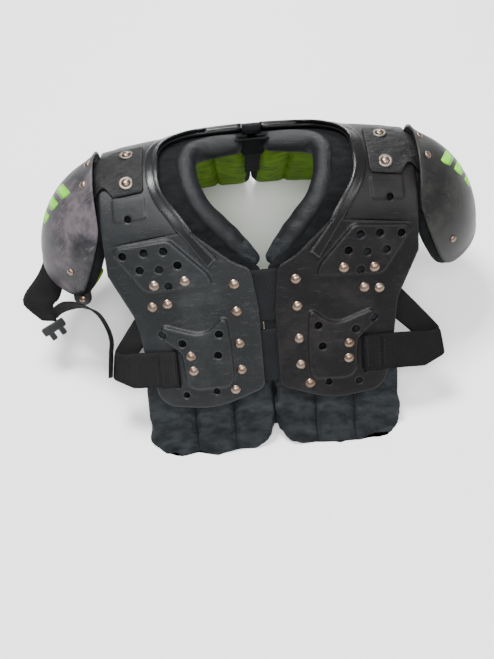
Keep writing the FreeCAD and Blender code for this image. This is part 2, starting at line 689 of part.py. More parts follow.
def tongue_stud_frame():
    """Point on the tongue's outer face, and the direction out of it."""
    y, z = -51.0, 92.0
    ray = Part.makeLine(Vector(140, y, z), Vector(240, y, z))
    hits = dome(TONGUE_FACE).common(ray)
    point = max((vertex.Point for vertex in hits.Vertexes), key=lambda place_: place_.x)
    centre = Vector(CAP_CENTRE_X, 0, CAP_CENTRE_Z)
    turn = FreeCAD.Rotation(Y_AXIS, -CAP_DROOP)
    local = turn.inverted().multVec(point - centre)
    a, b, c = (CAP_REACH - TONGUE_FACE, CAP_HALF_LENGTH - TONGUE_FACE, CAP_RISE - TONGUE_FACE)
    slope = Vector(local.x / a ** 2, local.y / b ** 2, local.z / c ** 2).normalize()
    return point, turn.multVec(slope)


def outer_flap():
    half = FLAP_HALF_LENGTH - 6
    layer_out = dome(CAP_WALL + SOFT_GAP)
    layer_in = dome(CAP_WALL + SOFT_GAP + FLAP_THICKNESS)
    block = Part.makeBox(24, 2 * half, 100, Vector(HINGE_X + SOFT_GAP / 2, -half, 150))
    radius = RIVET_SHANK_RADIUS + RIVET_HOLE_PLAY
    holes = [dome_hole(y, angle, radius, -8, 8) for y, angle in CAP_TOP_RIVETS]
    return layer_out.cut(layer_in).common(block).cut(holes)


# ---- write the nodes ----

def write(name, shape):
    solids = shape.Solids
    for solid in solids:
        if not solid.isValid():
            raise ValueError(name + " holds a solid that is not valid")
    kept = solids[0] if len(solids) == 1 else Part.makeCompound(solids)
    kept.exportStep("parts/" + name + ".step")
    volume = sum(solid.Volume for solid in solids)
    print(f"{name}: {len(solids)} solids, {volume / 1000:.1f} cm3")


def write_pair(name, shape):
    write("right_" + name, shape)
    write("left_" + name, mirrored(shape))


def rivet_group(places, seat, depth):
    return Part.makeCompound([rivet(x, s, seat, depth) for x, s in places])


def flap_fasteners():
    """Washered rivets that hold the hinge flap on top of the shell."""
    seat = FLAP_PLAY + FLAP_THICKNESS
    pieces = []
    for x, s in FLAP_WASHERS:
        pieces.append(washer(x, s, seat))
        top = seat + WASHER_THICKNESS
        pieces.append(rivet(x, s, top, top + SHELL_WALL, RIVET_HEAD_RADIUS * 0.8))
    return Part.makeCompound(pieces)


def cap_rivets():
    """Small rivets: two at the top that also hold the flap, one near the cap's front corner."""
    through_flap = CAP_WALL + SOFT_GAP + FLAP_THICKNESS
    pieces = []
    for y, angle in CAP_TOP_RIVETS:
        point, normal = dome_frame(y, angle)
        pieces.append(rivet_at(point, normal, through_flap, CAP_RIVET_RADIUS))
    point, normal = dome_frame(*CAP_LOW_RIVET)
    pieces.append(rivet_at(point, normal, CAP_WALL, CAP_RIVET_RADIUS))
    return pieces


def main():
    write_pair("shell", make_shell())
    write_pair("neck_strip", make_neck_strip())
    write("front_upper_band", centre_band(-122.0, -175.0))
    write("front_lower_band", centre_band(-184.0, -240.0))
    write("back_upper_band", turned_to_back(centre_band(-122.0, -175.0)))
    write("back_lower_band", turned_to_back(centre_band(-184.0, -240.0)))
    write_pair("front_pad", front_pad())
    write_pair("back_pad", back_pad())
    write_pair("shoulder_pad", shoulder_pad())
    write_pair("neck_roll", neck_roll())
    write_pair("hinge_flap", inner_flap())
    write_pair("cap_flap", outer_flap())
    write_pair("cap", make_cap())
    write("left_cap_tongue", mirrored(make_cap_tongue()))
    write_pair("cap_pad", make_cap_pad())
    write("left_front_belt", mirrored(front_belt(LEFT_BELT_REACH)))
    write("right_front_belt", front_belt(RIGHT_BELT_REACH))
    write("left_back_strap", back_strap(STRAP_REACH_LEFT))
    write("right_back_strap", mirrored(back_strap(STRAP_REACH_RIGHT)))
    write("left_arm_strap", arm_strap())
    left_end = strap_hook(Vector(-229.35, -62.0, 62.8), (0.43, -0.465, -0.775), (1, 0, -0.2))
    write("left_strap_hook", left_end)
    right_end = strap_hook(Vector(-152.9, 39.2, 70), (0.07, -1, 0), (0, 0, -1))
    write("right_strap_hook", mirrored(right_end))
    with_band = SHELL_WALL + BAND_PLAY + BAND_THICKNESS
    with_belt = SHELL_WALL + BELT_PLAY + BELT_THICKNESS
    inner = rivet_group(INNER_RIVETS, 0.0, with_band)
    write_pair("inner_rivets", Part.makeCompound([inner, rivet(*LOW_RIVET)]))
    behind = Part.makeCompound([inner, rivet_group(PAIR_RIVETS, 0.0, SHELL_WALL)])
    write_pair("back_rivets", turned_to_back(behind))
    through_strap = BELT_PLAY + BELT_THICKNESS + RIVET_TAIL_PLAY
    write_pair("strap_rivets", rivet_group(STRAP_RIVETS, through_strap, through_strap + SHELL_WALL))
    rivets = cap_rivets()
    write("right_cap_rivets", Part.makeCompound(rivets))
    stud = rivet_at(*tongue_stud_frame(), TONGUE_THICKNESS, CAP_RIVET_RADIUS)
    write("left_cap_rivets", mirrored(Part.makeCompound(rivets + [stud])))
    write_pair("boss_rivets", rivet_group(BOSS_RIVETS, BOSS_RISE, SHELL_WALL))
    write_pair("pair_rivets", rivet_group(PAIR_RIVETS, 0.0, with_belt))
    write_pair("belt_rivets", rivet_group(BELT_RIVETS, BOSS_RISE, BOSS_RISE + with_belt))
    write_pair("flap_fasteners", flap_fasteners())


main()
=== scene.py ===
import math

import bpy
import numpy as np
from bpy.props import FloatProperty, FloatVectorProperty, PointerProperty
from mathutils import Matrix, Vector
from mathutils.geometry import delaunay_2d_cdt


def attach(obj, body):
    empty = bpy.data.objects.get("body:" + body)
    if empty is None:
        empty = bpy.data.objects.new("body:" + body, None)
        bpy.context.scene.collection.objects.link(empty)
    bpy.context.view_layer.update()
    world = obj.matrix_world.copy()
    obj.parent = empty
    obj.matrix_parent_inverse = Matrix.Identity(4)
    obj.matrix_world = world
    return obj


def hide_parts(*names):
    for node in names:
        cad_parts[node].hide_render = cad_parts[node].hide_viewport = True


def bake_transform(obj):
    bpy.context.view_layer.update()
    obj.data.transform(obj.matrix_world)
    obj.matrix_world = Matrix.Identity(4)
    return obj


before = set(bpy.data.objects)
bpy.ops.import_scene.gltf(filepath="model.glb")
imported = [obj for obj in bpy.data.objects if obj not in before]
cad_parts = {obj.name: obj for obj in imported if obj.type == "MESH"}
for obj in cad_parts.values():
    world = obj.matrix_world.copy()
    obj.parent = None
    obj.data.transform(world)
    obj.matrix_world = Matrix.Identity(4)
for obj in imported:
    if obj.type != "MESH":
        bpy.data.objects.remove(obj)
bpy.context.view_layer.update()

bl_info = {
    "name": "Shoulder Pads",
    "version": (1, 0, 0),
    "blender": (4, 5, 0),
    "location": "3D View > Sidebar > Shoulder Pads",
    "description": "Builds the looks of riveted shoulder pads around their construction model",
    "category": "Add Mesh",
}

MM = 0.001
FULL_TURN = 2 * math.pi
TURN_PER_MM = 6283.2           # one full wave per millimetre, over a length in metres
SIDES = (("left", -1.0), ("right", 1.0))

# ---- the curved face that everything follows, in millimetres ----
RIDGE_HEIGHT = 232.0
ARCH_RADIUS = 78.0
TILT = math.radians(35.0)
CROWN_RADIUS = 678.0
ARCH_CENTRE_Z = RIDGE_HEIGHT - ARCH_RADIUS
AXIS_Z = RIDGE_HEIGHT - CROWN_RADIUS
TANGENT_S = ARCH_RADIUS * (math.pi / 2 - TILT)

# ---- caps ----
CAP_CENTRE = np.array((149.0, 0.0, 119.0))
CAP_RADII = np.array((79.0, 73.0, 105.0))
CAP_DROOP = math.radians(18.0)
DROOP_COS, DROOP_SIN = math.cos(CAP_DROOP), math.sin(CAP_DROOP)
CAP_WALL = 2.6
CAP_OUTLINE = ((155, 260, 0), (155, 190, 34), (170, 150, 70), (187, 108, 18), (300, 110, 0),
               (300, 260, 0))
CAP_HEADS = ((14.0, 58.0), (-10.0, 54.0), (-58.0, 6.0))
STRIP_END_CORNERS = (9.5, 47.5, 54.3)
STRIP_ENDS = (("strip_end", 66.0, 0.15, 2.55), ("bead_end", 57.9, 2.4, 4.5))
BAR_LEVELS = (11.0, 23.0, 35.0)
BAR_REACH, BAR_LEAN, BAR_HALF = 13.0, 5.0, 4.1
TONGUE_STUD = np.array([-192.5, -46.5, 82.0])

# ---- padding ----
LOWER_EDGE = ((-2, -290, 22), (14, -319, 20), (42, -319, 3), (62, -324, 24), (82, -319, 3),
              (112, -322, 26), (133, -294, 26), (134, -232, 12), (121, -206, 20), (123, -155, 60),
              (136, -114, 40), (140, -76, 5))
FRONT_PANEL = LOWER_EDGE + ((57, -76, 5), (27, -107, 30), (13, -121, 6), (-2, -126, 4))
BACK_PANEL = tuple((x, -s, r) for x, s, r in LOWER_EDGE) + ((-2, 76, 4),)
PANEL_SEAMS = (42.0, 82.0)
PANEL_BACK = -20.4
PANEL_ROUNDING = 7.0
PANEL_CELL = 5.0
PANEL_LINING = -14.5         # the lining shows behind this depth
SHOULDER_LINING = -12.5
LINING_TOP, LINING_BOTTOM, LINING_MIDDLE = 84, 304, 7
UNDER_SHADE_SHEET_DEPTHS = (-7.6, -5.1)
CAP_PAD_EDGE = (10.5, 5.0)   # depth inside the cap and reach past its rim
CAP_LINING_EDGE = (17.0, 10.0)
CAP_LINING_EDGE_RADIUS = 6.0
LEAST = 0.0004               # least height over the floor and distance from the middle, in metres
CLOTH_FRAMES = 20
UNDER_SHADE_SHEET = ((4, -250, 14), (4, -121, 3), (16, -108, 8), (30, -89, 12), (44, -72, 12),
               (57, -52, 14), (66, -22, 16), (66, 14, 20), (50, 34, 14), (4, 38, 3),
               (4, 250, 14), (60, 254, 20), (108, 250, 20), (112, 205, 10), (121, 160, 20),
               (138, 118, 20), (147, 74, 4), (148, 0, 4), (147, -74, 4), (138, -118, 20),
               (119, -160, 20), (110, -205, 10), (104, -244, 20), (60, -254, 20))
ROLL_PATH = ((10, -114), (19, -103), (31, -89), (42.5, -75), (53, -60), (60, -45), (65.5, -25),
             (67.5, -8), (67.5, 8), (62, 25), (50, 35), (35, 39), (18, 41))
ROLL_DEPTH = -14.0

# ---- webbing ----
WEBBING = 1.9
BELT_OUTER = ((93.8, -193, 0), (158, -184, 2), (168, -180, 4), (173, -207, 5), (152, -222, 8),
              (93.8, -231, 0))
BELT_INNER = ((90, -137, 3), (116, -130, 3), (134, -146, 20), (168, -180, 4), (173, -207, 5),
              (164, -209, 3), (118, -169, 20), (92, -154, 3))
BELT_REACH = {"left": -12.0, "right": 5.0}
BELT_SLANT = math.atan2(-8.0, 64.0)
BELT_LEG_SLANT = -0.7
BELT_FIXED, BELT_EASED = 96, 60          # where a belt starts to shift, and over how far
BELT_OUTSIDE, BELT_INSIDE = (0.3, 2.2), (-5.2, -3.3)
BELT_THROUGH, BELT_DOUBLED = (-5.0, 2.0), (2.2, 3.6)
BELT_SEAMS = ((97.5, 3.6), (109.0, 3.6), (115.0, 2.2))
STRAP_WIDTH, ARM_STRAP_WIDTH = 34.0, 25.0
STRAP_LEVEL, STRAP_SEAT_XS = 212.5, (72, 84, 98, 112, 124)
BANDS = (("upper", 122.0, 175.0), ("lower", 184.0, 240.0))
BAND_HALF, BAND_DEPTHS = 42, (-4.85, -3.35)
STRAP_SEAT = 1.2
STRAP_REACH = {
    "left": (((-150, 136, 75), (0.05, 0.5, -0.86)), ((-180, 112, 74), (0.1, 0.3, -0.94)),
             ((-203, 76, 74), (0.2, 0.1, -0.97)), ((-219, 34, 77), (0.4, -0.3, -0.86)),
             ((-229.6, -18, 77.7), (0.57, -0.58, -0.58)), ((-237.4, -42, 84), (0.77, -0.02, -0.64)),
             ((-239.5, -49.5, 82.6), (0.8, 0.2, -0.56)), ((-236.5, -54, 76), (0.7, 0.2, -0.5)),
             ((-231, -60, 66), (0.45, 0, -0.1))),
    "right": (((-141, 134, 73), (0, 0.5, -0.86)), ((-152, 114, 71), (0, 0.3, -0.95)),
              ((-156, 84, 70), (0, 0.1, -0.99)), ((-153, 40, 70), (0, 0, -1))),
}
ARM_WAY = (0, 0.565, -0.825)
ARM_STRAP = (((-163.9, -138.6, 66.7), ARM_WAY), ((-159.6, -124.2, 89.6), ARM_WAY),
             ((-158.6, -112, 94), ARM_WAY), ((-163, -97, 98), ARM_WAY),
             ((-173, -80, 100), ARM_WAY), ((-190.5, -68, 99), (0, 0.4, -0.917)),
             ((-207, -62, 92), (0, 0.25, -0.968)), ((-218, -58, 81), (0, 0.25, -0.968)),
             ((-224.5, -56, 71.5), (0, 0.25, -0.968)))

# ---- washers and hinge flaps ----
WASHER_X, WASHER_S, WASHER_D = 124.0, (-18.5, 18.5), 2.15
FLAP_NEAR, FLAP_FAR, FLAP_HALF, FLAP_THICKNESS = 108, 177.5, 30.0, 2.0
FLAP_NARROWED = 6.0          # how much the half outside the shell is narrower
FLAP_ON_SHELL, FLAP_IN_CAP = 0.15, 2.9   # clearance over the shell, and depth inside the cap

# ---- plastic: scuffs, smoky marks of the caps with their amount, and gloss; moulded also paints a highlight along edges in these colours made brighter ----
SCUFFS = {"left": (0.030, 0.032, 0.034), "right": (0.021, 0.018, 0.018)}
SMOKE = {"left": ((0.082, 0.070, 0.078), 2.4), "right": ((0.030, 0.030, 0.025), 1.5)}
SHELL_GLOSS = {"left": 0.3, "right": 0.19}
STRAP_TONE = {"left": 1.5, "right": 0.9}

# ---- stage: lamps as name, place, size and power, then the camera ----
LAMPS = (("key", (-0.35, 0.30, 1.7), 0.45, 50.0), ("fill", (1.2, -0.9, 1.5), 0.8, 14.0),
         ("rim", (0.2, 1.5, 0.8), 0.5, 18.0), ("front", (-0.05, -0.95, 1.35), 0.5, 26.0))
LAMP_TARGET = Vector((0, 0, 0.1))
CAMERA_PLACE = (-0.0213, -0.6261, 0.8441)
CAMERA_PITCH = math.radians(55.61)
CAMERA_ROLL = math.radians(5.0)
CAMERA_LENS = 49.17
CAMERA_SENSOR = 36.0


def place(x, s, d=0.0):
    """Points in metres, from x across, s along the face from the ridge and d outward."""
    x, s, d = np.broadcast_arrays(np.asarray(x, float), np.asarray(s, float), np.asarray(d, float))
    run = np.abs(s)
    angle = np.minimum(run, TANGENT_S) / ARCH_RADIUS
    leg = np.maximum(0.0, run - TANGENT_S)
    radius = ARCH_RADIUS + d
    y = np.sign(s) * (radius * np.sin(angle) + leg * math.sin(TILT))
    z = ARCH_CENTRE_Z + radius * np.cos(angle) - leg * math.cos(TILT)
    reach = z - AXIS_Z
    return np.stack([x, y, AXIS_Z + np.sqrt(reach * reach - x * x)], -1) * MM


def lay_of(points):
    """(x, s, d) in millimetres of points in metres."""
    x, y, z = (points / MM).T
    level = AXIS_Z + np.hypot(x, z - AXIS_Z)
    high = level - ARCH_CENTRE_Z
    run = np.abs(y)
    angle = np.arctan2(run, high)
    on_arch = angle <= math.pi / 2 - TILT
    turn_y = ARCH_RADIUS * math.cos(TILT)
    turn_z = ARCH_RADIUS * math.sin(TILT)
    leg = (run - turn_y) * math.sin(TILT) - (high - turn_z) * math.cos(TILT)
    off = (run - turn_y) * math.cos(TILT) + (high - turn_z) * math.sin(TILT)
    s = np.where(on_arch, angle * ARCH_RADIUS, TANGENT_S + leg)
    d = np.where(on_arch, np.hypot(run, high) - ARCH_RADIUS, off)
    return np.stack([x, np.where(y < 0, -s, s), d], -1)


def face_normal(x, s):
    step = place(x, s, 1.0) - place(x, s, 0.0)
    return step / np.linalg.norm(step, axis=-1, keepdims=True)


def droop(x, y, z):
    """Point in millimetres from a right cap's own axes, which lean out at its bottom."""
    return np.stack([x * DROOP_COS - z * DROOP_SIN, y, x * DROOP_SIN + z * DROOP_COS],
                    -1) + CAP_CENTRE


def dome_point(y, angle, shrink=0.0):
    """Point on a right cap in metres: y along it, angle up from its widest line in degrees."""
    radii = CAP_RADII - shrink
    y, angle = np.broadcast_arrays(np.asarray(y, float), np.radians(angle))
    narrow = np.sqrt(np.clip(1 - (y / radii[1]) ** 2, 0, 1))
    return droop(radii[0] * np.cos(angle) * narrow, y, radii[2] * np.sin(angle) * narrow) * MM


# ---- nodes ----

class Web:
    """Adds nodes to one node tree and links them."""

    def __init__(self, tree):
        self.tree = tree

    def add(self, kind, values=None, **attributes):
        made = self.tree.nodes.new(kind)
        for key, value in attributes.items():
            setattr(made, key, value)
        for key, value in (values or {}).items():
            self.feed(made.inputs[key], value)
        return made

    def feed(self, socket, value):
        if isinstance(value, bpy.types.NodeSocket):
            self.tree.links.new(value, socket)
        else:
            socket.default_value = value

    def math(self, operation, a, b=0.0, c=0.0):
        return self.add("ShaderNodeMath", {0: a, 1: b, 2: c}, operation=operation).outputs[0]

    def times(self, a, b):
        return self.math("MULTIPLY", a, b)

    def spread(self, value, low, high, to_low=0.0, to_high=1.0):
        sockets = {0: value, 1: low, 2: high, 3: to_low, 4: to_high}
        return self.add("ShaderNodeMapRange", sockets).outputs[0]

    def noise(self, vector, scale, detail=3.0, roughness=0.5):
        sockets = {"Vector": vector, "Scale": scale, "Detail": detail, "Roughness": roughness}
        return self.add("ShaderNodeTexNoise", sockets).outputs[0]

    def stretch(self, vector, scale, turn):
        sockets = {"Vector": vector, "Scale": scale, "Rotation": turn}
        return self.add("ShaderNodeMapping", sockets).outputs[0]

    def here(self):
        return self.add("ShaderNodeTexCoord").outputs["Object"]

    def lay(self):
        """Place in the cloth, and its parts: across, along and depth."""
        found = self.add("ShaderNodeAttribute", attribute_name="lay").outputs["Vector"]
        return found, self.add("ShaderNodeSeparateXYZ", {0: found}).outputs

    def mix(self, factor, a, b):
        made = self.add("ShaderNodeMix", data_type="RGBA")
        self.feed(made.inputs[0], factor)
        for number, value in ((6, a), (7, b)):
            linked = isinstance(value, bpy.types.NodeSocket)
            self.feed(made.inputs[number], value if linked else (*value, 1.0))
        return made.outputs[2]

    def bump(self, height, strength, distance, normal=None):
        made = self.add("ShaderNodeBump", {"Height": height, "Strength": strength,
                                           "Distance": distance})
        if normal is not None:
            self.feed(made.inputs["Normal"], normal)
        return made.outputs[0]


def effect(name, inputs, outputs, build):
    """A shader node group with named float inputs (name, default) and float outputs."""
    if name in bpy.data.node_groups:
        return bpy.data.node_groups[name]
    tree = bpy.data.node_groups.new(name, "ShaderNodeTree")
    for label, default in inputs:
        socket = tree.interface.new_socket(label, in_out="INPUT", socket_type="NodeSocketFloat")
        socket.default_value = default
    for label in outputs:
        tree.interface.new_socket(label, in_out="OUTPUT", socket_type="NodeSocketFloat")
    web = Web(tree)
    entry = web.add("NodeGroupInput").outputs
    leave = web.add("NodeGroupOutput")
    for label, value in build(web, entry).items():
        web.feed(leave.inputs[label], value)
    return tree


def scuff_effect():
    """Rubbed patches crossed by fine scratches."""
    def build(web, entry):
        here = web.here()
        patches = web.spread(web.noise(here, web.times(entry["Scale"], 18.0), 5.0, 0.65),
                             0.45, 0.72)
        fine = web.times(entry["Scale"], 75.0)
        marks = [web.spread(web.noise(web.stretch(here, (1.0, 9.0, 1.4), turn), fine, 4.0, 0.7),
                            0.60, 0.70) for turn in ((0.3, 0.2, 0.5), (0.1, 0.9, 2.1))]
        scratches = web.math("MAXIMUM", *marks)
        both = web.math("MULTIPLY_ADD", scratches, 0.55, web.times(patches, 0.7))
        kept = web.times(both, web.spread(patches, 0.0, 0.6, 0.25, 1.0))
        mask = web.times(kept, entry["Amount"])
        return {"Mask": web.math("MINIMUM", mask, 1.0), "Scratches": scratches}
    return effect("Scuffs", (("Scale", 1.0), ("Amount", 1.0)), ("Mask", "Scratches"), build)


def grain_effect():
    """Leathery moulded grain, with a slow change of tone."""
    def build(web, entry):
        here = web.here()
        fine = web.noise(here, web.times(entry["Scale"], 900.0), 2.0, 0.6)
        tone = web.noise(here, web.times(entry["Scale"], 11.0), 4.0, 0.55)
        return {"Height": fine, "Tone": web.spread(tone, 0.3, 0.7)}
    return effect("Grain", (("Scale", 1.0),), ("Height", "Tone"), build)


def knit_effect():
    """Knitted mesh with small open eyes, in the fabric's own lay. Pitch is in millimetres."""
    def build(web, entry):
        split = web.lay()[1]
        pitch = web.math("DIVIDE", TURN_PER_MM, entry["Pitch"])
        across = web.math("SINE", web.times(split[0], pitch))
        along = web.math("SINE", web.times(split[1], web.times(pitch, 1.3)))
        cell = web.times(across, along)
        return {"Eyes": web.spread(cell, 0.25, 0.75),
                "Height": web.spread(cell, -1.0, 1.0, 1.0, 0.0)}
    return effect("Knit", (("Pitch", 2.4),), ("Eyes", "Height"), build)


def rib_effect():
    """Ribs that run across a webbing, with a finer thread along it. Pitch is in millimetres."""
    def build(web, entry):
        lay, split = web.lay()
        pitch = web.math("DIVIDE", TURN_PER_MM, entry["Pitch"])
        ribs = web.math("SINE", web.times(split[1], pitch))
        threads = web.math("SINE", web.times(split[0], web.times(pitch, 1.7)))
        height = web.math("MULTIPLY_ADD", threads, 0.25, ribs)
        return {"Height": web.spread(height, -1.2, 1.2),
                "Tone": web.spread(web.noise(lay, 60.0), 0.3, 0.7)}
    return effect("Ribs", (("Pitch", 1.9),), ("Height", "Tone"), build)


def crease_effect():
    """Small soft creases of a stuffed cover, which knitted also paints as shade and highlight."""
    def build(web, entry):
        bent = web.stretch(web.here(), (1.0, 2.6, 1.0), (0.4, 0.3, 0.7))
        return {"Height": web.noise(bent, web.times(entry["Scale"], 42.0), 4.0, 0.6)}
    return effect("Creases", (("Scale", 1.0),), ("Height",), build)


def edge_highlight_effect():
    """Where a surface turns over an edge, found from how a rounded normal leaves the plain one;
    moulded paints a highlight along it.
    """
    def build(web, entry):
        bent = web.add("ShaderNodeBevel", {"Radius": entry["Radius"]}, samples=6).outputs[0]
        plain = web.add("ShaderNodeNewGeometry").outputs["Normal"]
        same = web.add("ShaderNodeVectorMath", {0: bent, 1: plain}, operation="DOT_PRODUCT")
        return {"Mask": web.spread(same.outputs["Value"], 0.995, 0.86)}
    return effect("Edges", (("Radius", 0.0015),), ("Mask",), build)


def seam_effect():
    """The two upright sewn lines of a panel. Width is in metres."""
    def build(web, entry):
        across = web.math("ABSOLUTE", web.lay()[1][0])
        lines = [web.math("ABSOLUTE", web.math("SUBTRACT", across, place * MM))
                 for place in PANEL_SEAMS]
        return {"Line": web.spread(web.math("MINIMUM", *lines), entry["Width"], 0.0)}
    return effect("Seams", (("Width", 0.0012),), ("Line",), build)


def use(web, tree, values=None):
    made = web.add("ShaderNodeGroup", node_tree=tree)
    for key, value in (values or {}).items():
        web.feed(made.inputs[key], value)
    return made.outputs


def new_material(name, colour, **sockets):
    made = bpy.data.materials.new(name)
    made.use_nodes = True
    made.diffuse_color = (*colour, 1.0)
    shader = made.node_tree.nodes["Principled BSDF"]
    for label, value in sockets.items():
        shader.inputs[label.replace("_", " ")].default_value = value
    return made, Web(made.node_tree), shader.inputs


def scaled(colour, factor):
    return tuple(min(1.0, c * factor) for c in colour)


def moulded(name, colour, rough, scuff_and_highlight, amount, scale=1.0, edge_radius=0.0036, relief=0.35,
            **sockets):
    """Moulded plastic with grain, slow tone changes, scuffs and a painted highlight along its
    edges.
    """
    sockets.setdefault("Specular_IOR_Level", 0.3)
    made, web, shader = new_material(name, colour, **sockets)
    grain = use(web, grain_effect(), {"Scale": scale})
    wear = use(web, scuff_effect(), {"Scale": scale, "Amount": amount})
    edge = use(web, edge_highlight_effect(), {"Radius": edge_radius})["Mask"]
    base = web.mix(grain["Tone"], scaled(colour, 0.72), scaled(colour, 1.25))
    worn = web.mix(wear["Mask"], base, scuff_and_highlight)
    # Edges are painted lighter in a brighter scuff colour: a painted highlight along the boss
    # edges.
    web.feed(shader["Base Color"], web.mix(web.times(edge, 0.2), worn, scaled(scuff_and_highlight, 1.6)))
    dull = web.spread(wear["Mask"], 0.0, 1.0, rough, min(1.0, rough + 0.28))
    web.feed(shader["Roughness"], web.math("MULTIPLY_ADD", edge, -0.10, dull))
    height = web.math("MULTIPLY_ADD", wear["Scratches"], -0.5, grain["Height"])
    soft = web.add("ShaderNodeBevel", {"Radius": edge_radius}, samples=6).outputs[0]
    web.feed(shader["Normal"], web.bump(height, relief, 0.0006, soft))
    return made


def metal(name, colour, tarnish, rough):
    """Plated metal with dull and tarnished patches."""
    made, web, shader = new_material(name, colour, Metallic=1.0)
    grain = use(web, grain_effect(), {"Scale": 5.0})
    wear = use(web, scuff_effect(), {"Scale": 4.0})["Mask"]
    base = web.mix(grain["Tone"], colour, tarnish)
    web.feed(shader["Base Color"], web.mix(wear, base, scaled(tarnish, 0.6)))
    web.feed(shader["Roughness"], web.spread(wear, 0.0, 1.0, rough, rough + 0.3))
    web.feed(shader["Normal"], web.bump(grain["Height"], 0.12, 0.0003))
    return made


def knitted(name, colour, pitch, eye_colour, ruffle=0.5, sewn_lines=False, tones=(0.48, 1.55)):
    """Open knitted mesh over padding, with painted shade in its creases and painted highlight on
    their crests.
    """
    made, web, shader = new_material(name, colour, Roughness=0.85, Specular_IOR_Level=0.12)
    knit = use(web, knit_effect(), {"Pitch": pitch})
    creases = use(web, crease_effect(), {"Scale": 1.3})["Height"]
    # The colour follows the crease height: painted shade in the troughs, painted highlight on the
    # crests.
    base = web.mix(web.spread(creases, 0.36, 0.64), *(scaled(colour, tone) for tone in tones))
    cover = web.mix(knit["Eyes"], base, eye_colour)
    if sewn_lines:
        cover = web.mix(use(web, seam_effect())["Line"], cover, scaled(colour, 0.2))
    web.feed(shader["Base Color"], cover)
    soft = web.bump(creases, ruffle, 0.006)
    web.feed(shader["Normal"], web.bump(knit["Height"], 0.5, 0.0008, soft))
    return made


def woven(name, colour, pitch, strength=0.6, rough=0.8, creased=0.15, gloss=0.08):
    """Ribbed webbing, elastic or smooth woven nylon."""
    made, web, shader = new_material(name, colour, Roughness=rough, Specular_IOR_Level=gloss)
    ribs = use(web, rib_effect(), {"Pitch": pitch})
    creases = use(web, crease_effect(), {"Scale": 1.6})["Height"]
    tone = web.mix(ribs["Tone"], scaled(colour, 0.8), scaled(colour, 1.2))
    web.feed(shader["Base Color"], web.mix(ribs["Height"], scaled(colour, 0.55), tone))
    soft = web.bump(creases, creased, 0.003)
    web.feed(shader["Normal"], web.bump(ribs["Height"], strength, 0.0005, soft))
    return made


# ---- mesh work ----

def link(name, mesh):
    made = bpy.data.objects.new(name, mesh)
    bpy.context.scene.collection.objects.link(made)
    return made


def give_lay(mesh, lay):
    """Gives each point its place in the cloth, in metres."""
    spread = mesh.attributes.new("lay", "FLOAT_VECTOR", "POINT")
    spread.data.foreach_set("vector", np.asarray(lay, np.float32).ravel())


def given_lay(mesh):
    found = np.zeros(len(mesh.vertices) * 3, np.float32)
    mesh.attributes["lay"].data.foreach_get("vector", found)
    return found.reshape(-1, 3)


def mesh_piece(name, points, faces, lay=None):
    """Object from points in metres. lay gives each point its place in the cloth, in metres."""
    mesh = bpy.data.meshes.new(name)
    mesh.from_pydata([tuple(p) for p in points], [], [tuple(int(i) for i in f) for f in faces])
    mesh.validate()
    mesh.polygons.foreach_set("use_smooth", [True] * len(mesh.polygons))
    if lay is not None:
        give_lay(mesh, lay)
    mesh.update()
    return link(name, mesh)


def points_of(mesh):
    found = np.zeros(len(mesh.vertices) * 3)
    mesh.vertices.foreach_get("co", found)
    return found.reshape(-1, 3)


def set_points(mesh, points):
    mesh.vertices.foreach_set("co", np.asarray(points, np.float32).ravel())
    mesh.update()


def normals_of(mesh):
    found = np.zeros(len(mesh.vertices) * 3, np.float32)
    mesh.vertex_normals.foreach_get("vector", found)
    return found.reshape(-1, 3).astype(float)


def settled(piece):
    """Applies every modifier of the piece."""
    graph = bpy.context.evaluated_depsgraph_get()
    done = bpy.data.meshes.new_from_object(piece.evaluated_get(graph))
    piece.modifiers.clear()
    old = piece.data
    piece.data = done
    bpy.data.meshes.remove(old)
    return piece


def subdivided(piece):
    division = piece.modifiers.new("Subdivision", "SUBSURF")
    division.levels = division.render_levels = 1
    return settled(piece)


def sewn(piece, body, material, replaces=()):
    """Gives a finished piece its material, its body and the nodes that it stands for."""
    if material is not None:
        dressed(piece, material)
    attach(piece, body)
    if replaces:
        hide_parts(*replaces)


def dressed(piece, *materials):
    piece.data.materials.clear()
    for material in materials:
        piece.data.materials.append(material)


def edges_of(faces):
    return {(f[i], f[(i + 1) % len(f)]) for f in faces for i in range(len(f))}


def flipped(faces):
    return [tuple(f)[::-1] for f in faces]


def facing(faces, points, outward):
    """The faces, turned over if the first one looks away from outward."""
    a, b, c = (points[i] for i in faces[0][:3])
    return flipped(faces) if np.cross(b - a, c - a) @ outward < 0 else list(faces)


def closed_sheet(faces, count):
    """Faces of a front of count points, of the back behind it, and of the rim between them."""
    edges = edges_of(faces)
    return (list(faces) + [tuple(i + count for i in f) for f in flipped(faces)]
            + [(b, a, a + count, b + count) for a, b in sorted(edges) if (b, a) not in edges])


def ring_faces(rows, around, capped=True, looped=False, start=0):
    """Faces between rings of points that follow each other, with flat ends."""
    faces = []
    for i in range(rows if looped else rows - 1):
        here, there = start + i * around, start + (i + 1) % rows * around
        for j in range(around):
            k = (j + 1) % around
            faces.append((here + j, here + k, there + k, there + j))
    if capped and not looped:
        last = start + (rows - 1) * around
        faces.append(tuple(range(start, start + around))[::-1])
        faces.append(tuple(range(last, last + around)))
    return faces


def unit(vectors):
    return vectors / np.linalg.norm(vectors, axis=-1, keepdims=True)


def distances(line):
    """Distance along a line of points to each of them."""
    return np.concatenate([[0], np.cumsum(np.linalg.norm(np.diff(line, axis=0), axis=1))])


def at(wanted, along, rows):
    """Rows at the wanted distances."""
    return np.stack([np.interp(wanted, along, column) for column in rows.T], -1)


